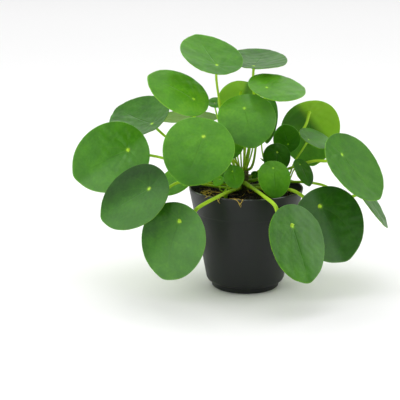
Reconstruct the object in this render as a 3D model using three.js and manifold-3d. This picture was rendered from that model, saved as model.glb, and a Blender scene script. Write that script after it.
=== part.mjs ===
// A Chinese money plant in its plastic nursery pot.
// Millimetres, +Z up. The origin is the middle of the pot's flat base.
// The front of the plant faces -Y, and +X is on the right.

import * as THREE from 'three';
import { mergeVertices } from 'three/addons/utils/BufferGeometryUtils.js';
import Module from 'manifold-3d';

const wasm = await Module();
wasm.setup();

// Clearances and the thickness of the leaves
const GAP = 0.3;
const BLADE_THICKNESS = 0.8;

// Pot: a 12 cm nursery pot, 107 mm high
const POT_HEIGHT = 107;
const POT_RIM_RADIUS = 60;
const POT_HEEL_RADIUS = 41.3;
const POT_HEEL_HEIGHT = 10;
const POT_FOOT_RADIUS = 34.5;
const POT_WALL = 1.4;
const POT_LIP = 2;
const POT_FLOOR = 1.6;
const POT_BAND_HEIGHT = 82;
const POT_BAND_STEP = 0.5;
const POT_SIDES = 48;
const DRAIN_COUNT = 8;
const DRAIN_RADIUS = 3;
const DRAIN_CIRCLE = 26;
const DRAIN_SIDES = 12;

// Soil
const SOIL_EDGE_HEIGHT = 99;
const SOIL_MIDDLE_HEIGHT = 103;

// Main stem: a short woody trunk with rings of leaf scars
const STEM_FOOT = [-4, 0];
const STEM_RADIUS = 6.5;
const STEM_FOOT_HEIGHT = 84;
const STEM_TOP_HEIGHT = 126;
const STEM_SCAR_PITCH = 4;
const STEM_SCAR_HEIGHT = 0.5;
const STEM_SIDES = 16;

// Outline of every blade, as shares of its length and width
const OUTLINE_EGG = 0.08;
const OUTLINE_TIP = 0.02;
const OUTLINE_TIP_SPREAD = 0.22;

// Petioles
const PETIOLE_SIDES = 6;
const PETIOLE_STEPS = 9;
const PETIOLE_SINK = 3;
const APPROACH = 18;
const APPROACH_LEAN = 0.8;
const SEAT_DISC = 6;

const COLOURS = {
  pot: '#2d302f',
  soil: '#1d1712',
  stem: '#6b6a3a',
  blade: '#5a9632',
  dark: '#3c6e22',
  petiole: '#86ab34',
};

// The leaves on the main stem. seat is where the petiole meets the blade. facing is the way the
// upper side looks, seen from above: 0 to the front, 90 to the right. rise is how steeply it
// looks up. turn swings the tip round from the steepest way down, seen on the upper side.
// seatShare is how far the seat lies from the blade's rear edge, as a share of its length. cup is
// how far the rim drops as a share of the length, and fold how far both halves rise from the
// midrib. root is the petiole's angle about the stem, from +X, and its height there. way lists points
// that the petiole passes.
const LEAVES = [
  { name: 'top_left', seat: [-31, 5, 233.7], facing: 27, rise: 64, turn: -179, length: 70, width: 66,
    seatShare: 0.27, cup: -0.03, fold: 0.05, thickness: 2.8, root: [150, 124], way: [] },
  { name: 'top_rear', seat: [8, 27, 230], facing: 36, rise: 82, turn: 127, length: 67, width: 62,
    seatShare: 0.23, cup: -0.045, fold: 0.05, thickness: 2.8, root: [75, 125],
    way: [[6, 12, 165], [8, 17, 198]] },
  { name: 'upper_right', seat: [20, -5, 212], facing: 22, rise: 67, turn: 92, length: 62, width: 55,
    seatShare: 0.3, cup: 0.03, fold: 0.05, thickness: 2.8, root: [-8, 124], way: [[13, 5, 180]] },
  { name: 'upper_left', seat: [-55, -10, 201], facing: 40, rise: 46, turn: -139, length: 68, width: 60,
    seatShare: 0.26, cup: 0.04, fold: 0.03, thickness: 3, root: [194, 124], way: [] },
  { name: 'middle_rear', seat: [-5, 30, 202], facing: 185, rise: 22, turn: 12, length: 50, width: 45,
    seatShare: 0.28, cup: 0.05, fold: 0.05, thickness: 2.6, root: [116, 123], way: [[-19, 22, 190]] },
  { name: 'middle', seat: [-3, -14, 192], facing: -5, rise: 49, turn: 14, length: 66, width: 59,
    seatShare: 0.29, cup: 0.04, fold: 0.03, thickness: 3, root: [-82, 124], way: [] },
  { name: 'front_large', seat: [-45, -58, 171], facing: 7, rise: 45, turn: -23, length: 79, width: 70,
    seatShare: 0.29, cup: 0.03, fold: 0.03, thickness: 3.4, root: [-112, 112], way: [[-9, -18, 134]] },
  { name: 'left_rear', seat: [-99, 25, 169], facing: -50, rise: 58, turn: -92, length: 71, width: 67,
    seatShare: 0.21, cup: -0.06, fold: 0.05, thickness: 3, root: [168, 114.5], way: [[-59, 15, 139]],
    lean: 3 },
  { name: 'left_back', seat: [-56, 75, 168], facing: 180, rise: 66, turn: 90, length: 70, width: 56,
    seatShare: 0.4, cup: 0.02, fold: 0.03, thickness: 3, root: [140, 109.5], way: [] },
  { name: 'far_left', seat: [-123, -5, 147], facing: -5, rise: 18, turn: -64, length: 84, width: 72,
    seatShare: 0.26, cup: 0.03, fold: 0.05, thickness: 3.4, root: [178, 111], way: [[-87, -3, 138]] },
  { name: 'low_left', seat: [-99, -58, 118], facing: -32, rise: 38, turn: -50, length: 79, width: 71,
    seatShare: 0.27, cup: 0.02, fold: 0.05, thickness: 3.4, root: [-150, 106.5],
    way: [[-22, -15, 109], [-70, -34, 119]] },
  { name: 'over_left_rim', seat: [-69, -14, 122], facing: -20, rise: 56, turn: -20, length: 38,
    width: 34, seatShare: 0.28, cup: 0.04, fold: 0.04, thickness: 2.6, root: [-176, 108],
    way: [[-55, -6, 114]] },
  { name: 'hanging_left', seat: [-69, -68, 87], facing: -22, rise: 7, turn: -16, length: 81, width: 69,
    seatShare: 0.23, cup: 0.03, fold: 0.1, thickness: 4.4, root: [-112, 107],
    way: [[-28, -53.5, 110], [-49, -64, 101]] },
  { name: 'hanging_front', seat: [42, -90, 88], facing: 38, rise: 24, turn: 3, length: 78, width: 68,
    seatShare: 0.28, cup: 0.01, fold: 0.05, thickness: 4.4, root: [-68, 112],
    way: [[15.5, -57.5, 110.5], [25.5, -77.7, 105.7]], lean: 3 },
  { name: 'hanging_right', seat: [73, -50, 98], facing: 8, rise: 13, turn: 27, length: 80, width: 71,
    seatShare: 0.23, cup: 0.03, fold: 0.08, thickness: 4.2, root: [-30, 107],
    way: [[15, -15, 108.5], [47, -37, 111]] },
  { name: 'far_right_low', seat: [125, 15, 97], facing: 76, rise: 42, turn: 0, length: 60, width: 50,
    seatShare: 0.25, cup: 0.03, fold: 0.08, thickness: 3.4, root: [10, 107],
    way: [[47, 8, 110], [81, 11, 106]] },
  { name: 'right_outer', seat: [97, -20, 145], facing: 51, rise: 35, turn: 12, length: 80, width: 81,
    seatShare: 0.28, cup: -0.04, fold: 0.05, thickness: 3.6, root: [-10, 113],
    way: [[30, 9, 119], [50, 8, 126], [70, 0, 134]] },
  { name: 'right_rear', seat: [70, 58, 176], facing: -171, rise: 23, turn: -8, length: 76, width: 66,
    seatShare: 0.2, cup: 0.07, fold: 0.04, thickness: 3.2, root: [28, 115], way: [[56, 42, 152]],
    lean: 2 },
  { name: 'back_left_low', seat: [-20, 92, 90], facing: 190, rise: 14, turn: 8, length: 70, width: 60,
    seatShare: 0.27, cup: 0.03, fold: 0.06, thickness: 3.8, root: [108, 107],
    way: [[-14, 58.5, 111.5]] },
  { name: 'back_right_low', seat: [34, 84, 86], facing: 160, rise: 12, turn: -10, length: 68, width: 58,
    seatShare: 0.27, cup: 0.03, fold: 0.06, thickness: 3.8, root: [62, 107],
    way: [[22, 56, 111.5]] },
  { name: 'back_left_high', seat: [-18, 74, 143], facing: 195, rise: 62, turn: 10, length: 60, width: 54,
    seatShare: 0.28, cup: 0.03, fold: 0.04, thickness: 3.2, root: [100, 113], way: [] },
  { name: 'back_right_high', seat: [56, 84, 143], facing: 155, rise: 60, turn: -8, length: 60, width: 53,
    seatShare: 0.28, cup: 0.03, fold: 0.04, thickness: 3.2, root: [56, 111], way: [] },
];

// Young leaves whose thin petiole and blade are one piece
const YOUNG_LEAVES = [
  { name: 'young_high', seat: [-33, 40, 189], facing: 0, rise: 60, turn: 112, length: 20, width: 17,
    seatShare: 0.36, cup: 0.03, fold: 0.05, thickness: 1.8, root: [134, 113], way: [] },
  { name: 'young_low', seat: [-19, -8, 166], facing: 0, rise: 22, turn: 8, length: 38, width: 32,
    seatShare: 0.28, cup: 0.03, fold: 0.05, thickness: 2, root: [-135, 123], way: [] },
];

// Two offsets that grow from the soil beside the trunk. foot is the middle of the offset's stem.
const OFFSETS = [
  { name: 'right_offset', foot: [36, -6], radius: 3.2, top: 116,
    blades: [
      { name: 'front', seat: [26, -34, 134], facing: 13, rise: 34, turn: -2, length: 39, width: 34,
        seatShare: 0.21, cup: 0.05, fold: 0.1, thickness: 2.2, root: [-130, 110], way: [] },
      { name: 'upper', seat: [32, -1, 144], facing: 6, rise: 22, turn: -5, length: 31, width: 29,
        seatShare: 0.3, cup: 0.05, fold: 0.04, thickness: 2, root: [80, 113], way: [] },
      { name: 'rear', seat: [45, 22, 148], facing: -12, rise: 25, turn: -160, length: 32, width: 29,
        seatShare: 0.3, cup: 0.04, fold: 0.04, thickness: 2, root: [60, 111], way: [[39, 5, 130]] },
      { name: 'outer', seat: [65, 5, 156], facing: 54, rise: 60, turn: 80, length: 40, width: 36,
        seatShare: 0.2, cup: 0.0, fold: 0.06, thickness: 2.2, root: [20, 114], way: [[51, 4, 133]] },
      { name: 'side', seat: [55, -12, 133], facing: 50, rise: 39, turn: -1, length: 31, width: 27,
        seatShare: 0.22, cup: 0.04, fold: 0.1, thickness: 1.8, root: [-20, 111], way: [] },
      { name: 'hidden', seat: [25, 24, 184], facing: 28, rise: 5, turn: -3, length: 50, width: 21,
        seatShare: 0.3, cup: 0.04, fold: 0.04, thickness: 2, root: [160, 112],
        way: [[20, 8, 131], [17, 24, 147]] },
    ] },
  { name: 'left_offset', foot: [-22, -24], radius: 2.2, top: 109,
    blades: [
      { name: 'front', seat: [-15, -32, 130.5], facing: -25, rise: 30, turn: 25, length: 24, width: 22,
        seatShare: 0.24, cup: 0.05, fold: 0.06, thickness: 1.8, root: [-60, 106], way: [] },
      { name: 'rear', seat: [-20, -9, 128], facing: -20, rise: 30, turn: -20, length: 22, width: 19,
        seatShare: 0.28, cup: 0.04, fold: 0.06, thickness: 1.6, root: [70, 107], way: [] },
      { name: 'small', seat: [-28, -27, 121], facing: -10, rise: 45, turn: -30, length: 13, width: 11,
        seatShare: 0.3, cup: 0.04, fold: 0.05, thickness: 1.4, root: [200, 106], way: [] },
    ] },
];

const material = (colour, roughness) => new THREE.MeshStandardMaterial({
  color: colour, roughness, metalness: 0, side: THREE.DoubleSide });
const vector = ([x, y, z]) => new THREE.Vector3(x, y, z);

// Closed geometry to a solid, and back again
function toSolid(geometry) {
  const bare = geometry.clone();
  bare.deleteAttribute('normal');
  bare.deleteAttribute('uv');
  const merged = mergeVertices(bare, 1e-4);
  return new wasm.Manifold(new wasm.Mesh({
    numProp: 3,
    vertProperties: Float32Array.from(merged.attributes.position.array),
    triVerts: Uint32Array.from(merged.index.array),
  }));
}

function toGeometry(solid) {
  const mesh = solid.getMesh();
  const geometry = new THREE.BufferGeometry();
  geometry.setAttribute('position', new THREE.BufferAttribute(mesh.vertProperties, 3));
  geometry.setIndex(new THREE.BufferAttribute(mesh.triVerts, 1));
  geometry.computeVertexNormals();
  return geometry;
}

// The three directions of a blade: along the midrib, across it and out of the upper side
function bladeDirections(leaf) {
  const facing = THREE.MathUtils.degToRad(leaf.facing);
  const rise = THREE.MathUtils.degToRad(leaf.rise);
  const turn = THREE.MathUtils.degToRad(leaf.turn);
  const normal = new THREE.Vector3(
    Math.sin(facing) * Math.cos(rise), -Math.cos(facing) * Math.cos(rise), Math.sin(rise));
  const down = new THREE.Vector3(
    Math.sin(facing) * Math.sin(rise), -Math.cos(facing) * Math.sin(rise), -Math.cos(rise));
  const level = new THREE.Vector3().crossVectors(normal, down);
  const tip = down.multiplyScalar(Math.cos(turn)).addScaledVector(level, Math.sin(turn));
  return { tip, side: new THREE.Vector3().crossVectors(normal, tip), normal };
}

function bladeMatrix(leaf) {
  const { tip, side, normal } = bladeDirections(leaf);
  return new THREE.Matrix4().makeBasis(tip, side, normal).setPosition(vector(leaf.seat));
}

// Rim point of a blade at an angle from its tip: an egg shape with a faint point
function rimPoint(leaf, angle) {
  const half = leaf.length / 2;
  const fromTip = Math.min(angle, 2 * Math.PI - angle) / OUTLINE_TIP_SPREAD;
  const point = OUTLINE_TIP * leaf.length * Math.exp(-fromTip * fromTip);
  return [
    (0.5 - leaf.seatShare) * leaf.length + half * Math.cos(angle) + point,
    leaf.width / 2 * Math.sin(angle) * (1 - OUTLINE_EGG * Math.cos(angle)),
  ];
}

// Height of the blade over its seat: a shallow dome, with both halves lifted off the midrib
function bladeHeight(leaf, x, y) {
  const half = leaf.length / 2;
  const soft = half / 8;
  const dome = leaf.cup * leaf.length * (x * x + y * y) / (half * half);
  return leaf.fold * (Math.sqrt(y * y + soft * soft) - soft) - dome;
}

// A blade is a fan of rings about its seat, with the same triangles on both faces
function bladeGeometry(leaf) {
  const large = leaf.length > 45;
  const steps = large ? 20 : 14;
  const rings = large ? [0.42, 0.76, 1] : [0.55, 1];
  const rows = [[0, 0]];
  for (const share of rings) {
    for (let step = 0; step < steps; step += 1) {
      const [x, y] = rimPoint(leaf, step / steps * 2 * Math.PI);
      rows.push([x * share, y * share]);
    }
  }
  const positions = [];
  for (const side of [1, -1]) {
    for (const [x, y] of rows) {
      positions.push(x, y, bladeHeight(leaf, x, y) + side * BLADE_THICKNESS / 2);
    }
  }
  const count = rows.length;
  const triangles = [];
  const face = (a, b, c) => {
    triangles.push(a, b, c);
    triangles.push(count + a, count + c, count + b);
  };
  const at = (ring, step) => 1 + ring * steps + step % steps;
  for (let step = 0; step < steps; step += 1) {
    face(0, at(0, step), at(0, step + 1));
    for (let ring = 1; ring < rings.length; ring += 1) {
      face(at(ring - 1, step), at(ring, step), at(ring, step + 1));
      face(at(ring - 1, step), at(ring, step + 1), at(ring - 1, step + 1));
    }
    const a = at(rings.length - 1, step);
    const b = at(rings.length - 1, step + 1);
    triangles.push(a, count + a, count + b);
    triangles.push(a, count + b, b);
  }
  const geometry = new THREE.BufferGeometry();
  geometry.setAttribute('position', new THREE.Float32BufferAttribute(positions, 3));
  geometry.setIndex(triangles);
  geometry.computeVertexNormals();
  return geometry;
}

// Route of a petiole: out of its stem, past its way points, and into the blade from below
function petioleRoute(leaf, foot, stemRadius) {
  const seat = vector(leaf.seat);
  const [rootAngle, rootHeight] = leaf.root;
  const root = new THREE.Vector3(foot[0], foot[1], rootHeight);
  const last = leaf.way.length > 0 ? vector(leaf.way[leaf.way.length - 1]) : root;
  const first = leaf.way.length > 0 ? vector(leaf.way[0]) : seat;
  const inward = last.clone().sub(seat).normalize().multiplyScalar(leaf.lean ?? APPROACH_LEAN)
    .sub(bladeDirections(leaf).normal).normalize();
  const turnPoint = seat.clone().addScaledVector(inward, Math.min(APPROACH, leaf.length * 0.3));
  const out = new THREE.Vector3(1, 0, 0)
    .applyAxisAngle(new THREE.Vector3(0, 0, 1), THREE.MathUtils.degToRad(rootAngle));
  const steep = first.clone().sub(root).normalize();
  const start = root.clone().addScaledVector(out, stemRadius - PETIOLE_SINK);
  const leave = root.clone().addScaledVector(out, stemRadius + 2).addScaledVector(steep, 4);
  const way = leaf.way.map(vector);
  return new THREE.CatmullRomCurve3([start, leave, ...way, turnPoint, seat]);
}

function petioleGeometry(leaf, foot, stemRadius) {
  const section = new THREE.Shape();
  for (let side = 0; side < PETIOLE_SIDES; side += 1) {
    const angle = side / PETIOLE_SIDES * 2 * Math.PI;
    const x = leaf.thickness / 2 * Math.cos(angle);
    const y = leaf.thickness / 2 * Math.sin(angle);
    if (side === 0) section.moveTo(x, y);
    else section.lineTo(x, y);
  }
  section.closePath();
  return new THREE.ExtrudeGeometry(section, {
    steps: PETIOLE_STEPS,
    bevelEnabled: false,
    extrudePath: petioleRoute(leaf, foot, stemRadius),
  });
}

// Solids of revolution about an upright axis, from a profile of [radius, height] points
function turned(profile, sides) {
  const points = profile.map(([radius, height]) => new THREE.Vector2(radius, height));
  return new THREE.LatheGeometry(points, sides).rotateX(Math.PI / 2);
}

function trunkProfile(grow) {
  const profile = [[0, STEM_FOOT_HEIGHT - grow], [STEM_RADIUS + grow, STEM_FOOT_HEIGHT - grow]];
  for (let height = STEM_FOOT_HEIGHT + 18; height < STEM_TOP_HEIGHT - 4; height += STEM_SCAR_PITCH) {
    profile.push([STEM_RADIUS + grow, height]);
    profile.push([STEM_RADIUS + grow + STEM_SCAR_HEIGHT, height + 0.8]);
    profile.push([STEM_RADIUS + grow, height + 1.6]);
  }
  profile.push([STEM_RADIUS - 1 + grow, STEM_TOP_HEIGHT - 2.5 + grow]);
  profile.push([STEM_RADIUS / 2 + grow, STEM_TOP_HEIGHT + grow]);
  profile.push([0, STEM_TOP_HEIGHT + 0.5 + grow]);
  return profile;
}

function trunkGeometry(grow) {
  return turned(trunkProfile(grow), STEM_SIDES).translate(STEM_FOOT[0], STEM_FOOT[1], 0);
}

function offsetProfile(offset, grow) {
  const foot = STEM_FOOT_HEIGHT + 4;
  return [
    [0, foot - grow],
    [offset.radius + grow, foot - grow],
    [offset.radius + grow, offset.top - 2 + grow],
    [offset.radius * 0.6 + grow, offset.top + grow],
    [0, offset.top + 0.5 + grow],
  ];
}

// Pot wall radius outside at a height
function potRadius(height) {
  const share = (height - POT_HEEL_HEIGHT) / (POT_HEIGHT - POT_HEEL_HEIGHT);
  return POT_HEEL_RADIUS + share * (POT_RIM_RADIUS - POT_HEEL_RADIUS);
}

function potGeometry() {
  const inside = (height) => potRadius(height) - POT_WALL;
  const profile = [
    [0, 0],
    [POT_FOOT_RADIUS, 0],
    [POT_FOOT_RADIUS + 1, 1],
    [POT_FOOT_RADIUS + 1.6, 6],
    [POT_HEEL_RADIUS - 1.6, 7.4],
    [POT_HEEL_RADIUS, POT_HEEL_HEIGHT],
    [potRadius(POT_BAND_HEIGHT) - POT_BAND_STEP, POT_BAND_HEIGHT],
    [potRadius(POT_BAND_HEIGHT), POT_BAND_HEIGHT + 1],
    [potRadius(POT_HEIGHT - 1), POT_HEIGHT - 1],
    [POT_RIM_RADIUS - 0.4, POT_HEIGHT],
    [POT_RIM_RADIUS - POT_LIP, POT_HEIGHT],
    [inside(POT_HEIGHT - 3), POT_HEIGHT - 3],
    [inside(POT_HEEL_HEIGHT + 1), POT_HEEL_HEIGHT + 1],
    [POT_HEEL_RADIUS - 3.4, 8.9],
    [POT_FOOT_RADIUS, 7.4],
    [POT_FOOT_RADIUS - 1, POT_FLOOR],
    [0, POT_FLOOR],
  ];
  let pot = toSolid(turned(profile, POT_SIDES));
  for (let index = 0; index < DRAIN_COUNT; index += 1) {
    const hole = new THREE.CylinderGeometry(DRAIN_RADIUS, DRAIN_RADIUS, POT_FLOOR * 2, DRAIN_SIDES);
    hole.rotateX(Math.PI / 2);
    hole.translate(DRAIN_CIRCLE, 0, POT_FLOOR / 2);
    hole.rotateZ((index + 0.5) / DRAIN_COUNT * 2 * Math.PI);
    pot = pot.subtract(toSolid(hole));
  }
  return toGeometry(pot);
}

function soilGeometry() {
  const side = (height) => potRadius(height) - POT_WALL - GAP - 0.2;
  const profile = [
    [0, POT_FLOOR + GAP],
    [POT_FOOT_RADIUS - 1.6, POT_FLOOR + GAP],
    [POT_FOOT_RADIUS - 0.8, 7.8],
    [POT_HEEL_RADIUS - 4, 9.4],
    [side(POT_HEEL_HEIGHT + 2), POT_HEEL_HEIGHT + 2],
    [side(SOIL_EDGE_HEIGHT), SOIL_EDGE_HEIGHT],
    [potRadius(SOIL_EDGE_HEIGHT) * 0.6, SOIL_EDGE_HEIGHT + 2.4],
    [0, SOIL_MIDDLE_HEIGHT],
  ];
  let soil = toSolid(turned(profile, POT_SIDES));
  soil = soil.subtract(toSolid(trunkGeometry(GAP)));
  for (const offset of OFFSETS) {
    const hole = turned(offsetProfile(offset, GAP), STEM_SIDES);
    hole.translate(offset.foot[0], offset.foot[1], 0);
    soil = soil.subtract(toSolid(hole));
  }
  return toGeometry(soil);
}

const plant = new THREE.Group();

function addPiece(name, geometry, colour, roughness) {
  const mesh = new THREE.Mesh(geometry, material(colour, roughness));
  mesh.name = name;
  plant.add(mesh);
  return mesh;
}

function addBlade(name, leaf) {
  const blade = addPiece(name, bladeGeometry(leaf), COLOURS.blade, 0.45);
  const { tip, side, normal } = bladeDirections(leaf);
  blade.quaternion.setFromRotationMatrix(new THREE.Matrix4().makeBasis(tip, side, normal));
  blade.position.copy(vector(leaf.seat));
}

// Pot, soil and trunk
addPiece('pot', potGeometry(), COLOURS.pot, 0.55);
addPiece('soil', soilGeometry(), COLOURS.soil, 0.95);
addPiece('main_stem', trunkGeometry(0), COLOURS.stem, 0.8);

// The largest body of a cut solid, without the scraps beyond the cut
function largest(solid) {
  return solid.decompose().reduce((kept, body) => (body.volume() > kept.volume() ? body : kept));
}

// A disc about the seat, a gap thicker than the blade on both sides
function seatDisc(leaf) {
  const disc = new THREE.CylinderGeometry(SEAT_DISC, SEAT_DISC, BLADE_THICKNESS + 2 * GAP, 6);
  return toSolid(disc.rotateX(Math.PI / 2).applyMatrix4(bladeMatrix(leaf)));
}

// Leaves of the trunk: a blade and a petiole each, the petiole cut to fit between its neighbours
const trunkSocket = toSolid(trunkGeometry(GAP));
for (const leaf of LEAVES) {
  addBlade(`${leaf.name}_blade`, leaf);
  const petiole = toSolid(petioleGeometry(leaf, STEM_FOOT, STEM_RADIUS))
    .subtract(trunkSocket)
    .subtract(seatDisc(leaf));
  addPiece(`${leaf.name}_petiole`, toGeometry(largest(petiole)), COLOURS.petiole, 0.5);
}

// Young leaves: the petiole runs into the blade
for (const leaf of YOUNG_LEAVES) {
  const petiole = toSolid(petioleGeometry(leaf, STEM_FOOT, STEM_RADIUS)).subtract(trunkSocket);
  const blade = toSolid(bladeGeometry(leaf).applyMatrix4(bladeMatrix(leaf)));
  addPiece(`${leaf.name}_leaf`, toGeometry(petiole.add(blade)), COLOURS.dark, 0.5);
}

// Offsets: the stem and its petioles are one piece, with the blades on their tips
for (const offset of OFFSETS) {
  let stem = toSolid(turned(offsetProfile(offset, 0), STEM_SIDES)
    .translate(offset.foot[0], offset.foot[1], 0));
  for (const leaf of offset.blades) {
    addBlade(`${offset.name}_${leaf.name}_blade`, leaf);
    stem = stem.add(toSolid(petioleGeometry(leaf, offset.foot, offset.radius)));
  }
  for (const leaf of offset.blades) {
    stem = stem.subtract(seatDisc(leaf));
  }
  addPiece(`${offset.name}_stem`, toGeometry(largest(stem)), COLOURS.petiole, 0.5);
}

export default plant;
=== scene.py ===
import math

import bpy
import numpy as np
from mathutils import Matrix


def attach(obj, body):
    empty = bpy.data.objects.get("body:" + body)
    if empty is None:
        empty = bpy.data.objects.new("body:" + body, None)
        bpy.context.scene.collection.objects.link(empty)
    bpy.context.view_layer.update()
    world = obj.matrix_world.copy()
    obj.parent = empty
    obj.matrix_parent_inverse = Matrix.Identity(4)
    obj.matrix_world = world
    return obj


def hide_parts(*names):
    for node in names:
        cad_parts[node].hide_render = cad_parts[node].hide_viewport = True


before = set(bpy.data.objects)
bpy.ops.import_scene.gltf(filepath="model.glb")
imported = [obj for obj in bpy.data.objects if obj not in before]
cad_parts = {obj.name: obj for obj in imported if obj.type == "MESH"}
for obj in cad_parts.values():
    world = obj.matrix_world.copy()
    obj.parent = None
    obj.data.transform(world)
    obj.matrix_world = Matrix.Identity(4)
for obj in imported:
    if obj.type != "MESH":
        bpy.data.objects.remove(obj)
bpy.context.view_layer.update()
print("frame loaded with", len(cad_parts), "nodes")

# The plant and its pot are in millimetres, and turned to metres when a mesh is made. The camera,
# the floor and the lamps are in metres.
mm = 0.001
fullTurn = 2 * math.pi

# The camera stands about 1.2 m in front of the pot and looks a little down on it
photoView = {
    "place": (-0.0482, -1.1683, 0.3814),
    "lookDown": 13.9,
    "lens": 103.05,
    "sensor": 36.0,
}


def addCamera(view):
    camera = bpy.data.objects.new("photoCamera", bpy.data.cameras.new("photoCamera"))
    camera.data.lens = view["lens"]
    camera.data.sensor_width = view["sensor"]
    camera.location = view["place"]
    camera.rotation_euler = (math.radians(90 - view["lookDown"]), 0, 0)
    bpy.context.scene.collection.objects.link(camera)
    bpy.context.scene.camera = camera


addCamera(photoView)
bpy.context.scene.view_settings.view_transform = "Standard"
print("camera placed")


# Vectors, angles and waves

def unit(vectors):
    return vectors / np.linalg.norm(vectors, axis=-1, keepdims=True)


def heading(degrees):
    # Level unit vector at an angle from +X
    return np.array([math.cos(math.radians(degrees)), math.sin(math.radians(degrees)), 0.0])


def smoothStep(low, high, values):
    # 0 below low, 1 above high, and an S curve between
    share = np.clip((values - low) / (high - low), 0, 1)
    return share * share * (3 - 2 * share)


def waves(points, lengths, seed):
    # Sum of sine waves of the given lengths, each with its own random direction and start,
    # scaled so that the result stays near -1 to 1
    draw = np.random.default_rng(seed)
    directions = unit(draw.normal(size=(len(lengths), points.shape[-1])))
    starts = draw.uniform(0, fullTurn, len(lengths))
    phases = points @ directions.T * (fullTurn / np.array(lengths)) + starts
    return np.sin(phases).sum(axis=-1) / math.sqrt(len(lengths)) / 1.4


# Closed skins. A part is a dictionary of points, quads, triangles, values per point and its finish.

def outward(part):
    # Six times the volume is the sum of a . (b x c) over the triangles. Where it is negative the
    # skin is inside out, so its faces are turned round.
    points = part["points"]
    quads = part["quads"]
    triangles = np.concatenate([quads[:, [0, 1, 2]], quads[:, [0, 2, 3]], part["triangles"]])
    a, b, c = (points[triangles[:, corner]] for corner in range(3))
    if np.einsum("ij,ij->i", a, np.cross(b, c)).sum() < 0:
        part["quads"] = quads[:, ::-1]
        part["triangles"] = part["triangles"][:, ::-1]
    return part


def skin(grid, firstPole, lastPole, values, finish=0):
    # A grid of rows whose columns close round, with a fan of triangles to a pole at each end.
    # Values are given for the grid's points, with one more at the end of the list for each pole.
    rows, columns = grid.shape[:2]
    count = rows * columns
    row, column = np.meshgrid(np.arange(rows - 1), np.arange(columns), indexing="ij")
    beside = (column + 1) % columns
    corners = [row * columns + column, (row + 1) * columns + column,
               (row + 1) * columns + beside, row * columns + beside]
    ring = np.arange(columns)
    ringBeside = (ring + 1) % columns
    last = count - columns
    firstFan = np.stack([np.full(columns, count), ring, ringBeside], axis=-1)
    lastFan = np.stack([np.full(columns, count + 1), last + ringBeside, last + ring], axis=-1)
    return outward({
        "points": np.concatenate([grid.reshape(-1, 3), [firstPole], [lastPole]]),
        "quads": np.stack(corners, axis=-1).reshape(-1, 4),
        "triangles": np.concatenate([firstFan, lastFan]),
        "values": values,
        "finish": finish,
    })


askew = (0.31, 0.17, 0.93)  # a direction that no path starts in


def sweep(path, radii, sides, values=None, finish=0):
    # A tube: a ring about each point of the path, square to it. The ring's first axis is carried
    # along the path, each time with the part along the new direction taken out.
    along = unit(np.gradient(path, axis=0))
    across = np.zeros_like(path)
    carried = np.cross(along[0], askew)
    for step, direction in enumerate(along):
        carried = carried - direction * (carried @ direction)
        carried = carried / np.linalg.norm(carried)
        across[step] = carried
    third = np.cross(along, across)
    angle = np.arange(sides) * fullTurn / sides
    ring = (across[:, None] * np.cos(angle)[None, :, None]
            + third[:, None] * np.sin(angle)[None, :, None])
    grid = path[:, None] + ring * np.asarray(radii)[:, None, None]
    spread = {}
    for name, rowValues in (values or {}).items():
        rowValues = np.asarray(rowValues, dtype=float)
        spread[name] = np.concatenate([np.repeat(rowValues, sides), rowValues[:1], rowValues[-1:]])
    return skin(grid, path[0], path[-1], spread, finish)


def lathe(profile, sides):
    # A skin of revolution: the profile's (radius, height) points carried round +Z. The first and
    # last points lie on the axis.
    profile = np.asarray(profile, dtype=float)
    angle = np.arange(sides) * fullTurn / sides
    middle = profile[1:-1]
    grid = np.stack([
        middle[:, 0, None] * np.cos(angle),
        middle[:, 0, None] * np.sin(angle),
        np.repeat(middle[:, 1, None], sides, axis=1),
    ], axis=-1)
    return skin(grid, (0, 0, profile[0][1]), (0, 0, profile[-1][1]), {})


def rounded(profile, reach, steps=5):
    # Each inner corner of a profile becomes a short parabola that starts and ends reach away from
    # it, or at the middle of a side where that is nearer
    points = np.asarray(profile, dtype=float)
    made = [points[0]]
    share = np.linspace(0, 1, steps)[:, None]
    for before, corner, after in zip(points[:-2], points[1:-1], points[2:]):
        back = before - corner
        ahead = after - corner
        entry = corner + back * min(0.5, reach / np.linalg.norm(back))
        leave = corner + ahead * min(0.5, reach / np.linalg.norm(ahead))
        made.extend((1 - share) ** 2 * entry + 2 * share * (1 - share) * corner + share ** 2 * leave)
    made.append(points[-1])
    return np.array(made)


def joined(parts, finish=0):
    # Many skins become one part of one finish. A skin without a value that another has gets 0.
    starts = np.cumsum([0] + [len(part["points"]) for part in parts])
    names = sorted({name for part in parts for name in part["values"]})
    blanks = [np.zeros(len(part["points"])) for part in parts]
    return {
        "points": np.concatenate([part["points"] for part in parts]),
        "quads": np.concatenate([part["quads"] + start for part, start in zip(parts, starts)]),
        "triangles": np.concatenate([part["triangles"] + start for part, start in zip(parts, starts)]),
        "values": {name: np.concatenate([part["values"].get(name, blank)
                                         for part, blank in zip(parts, blanks)]) for name in names},
        "finish": finish,
    }


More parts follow.
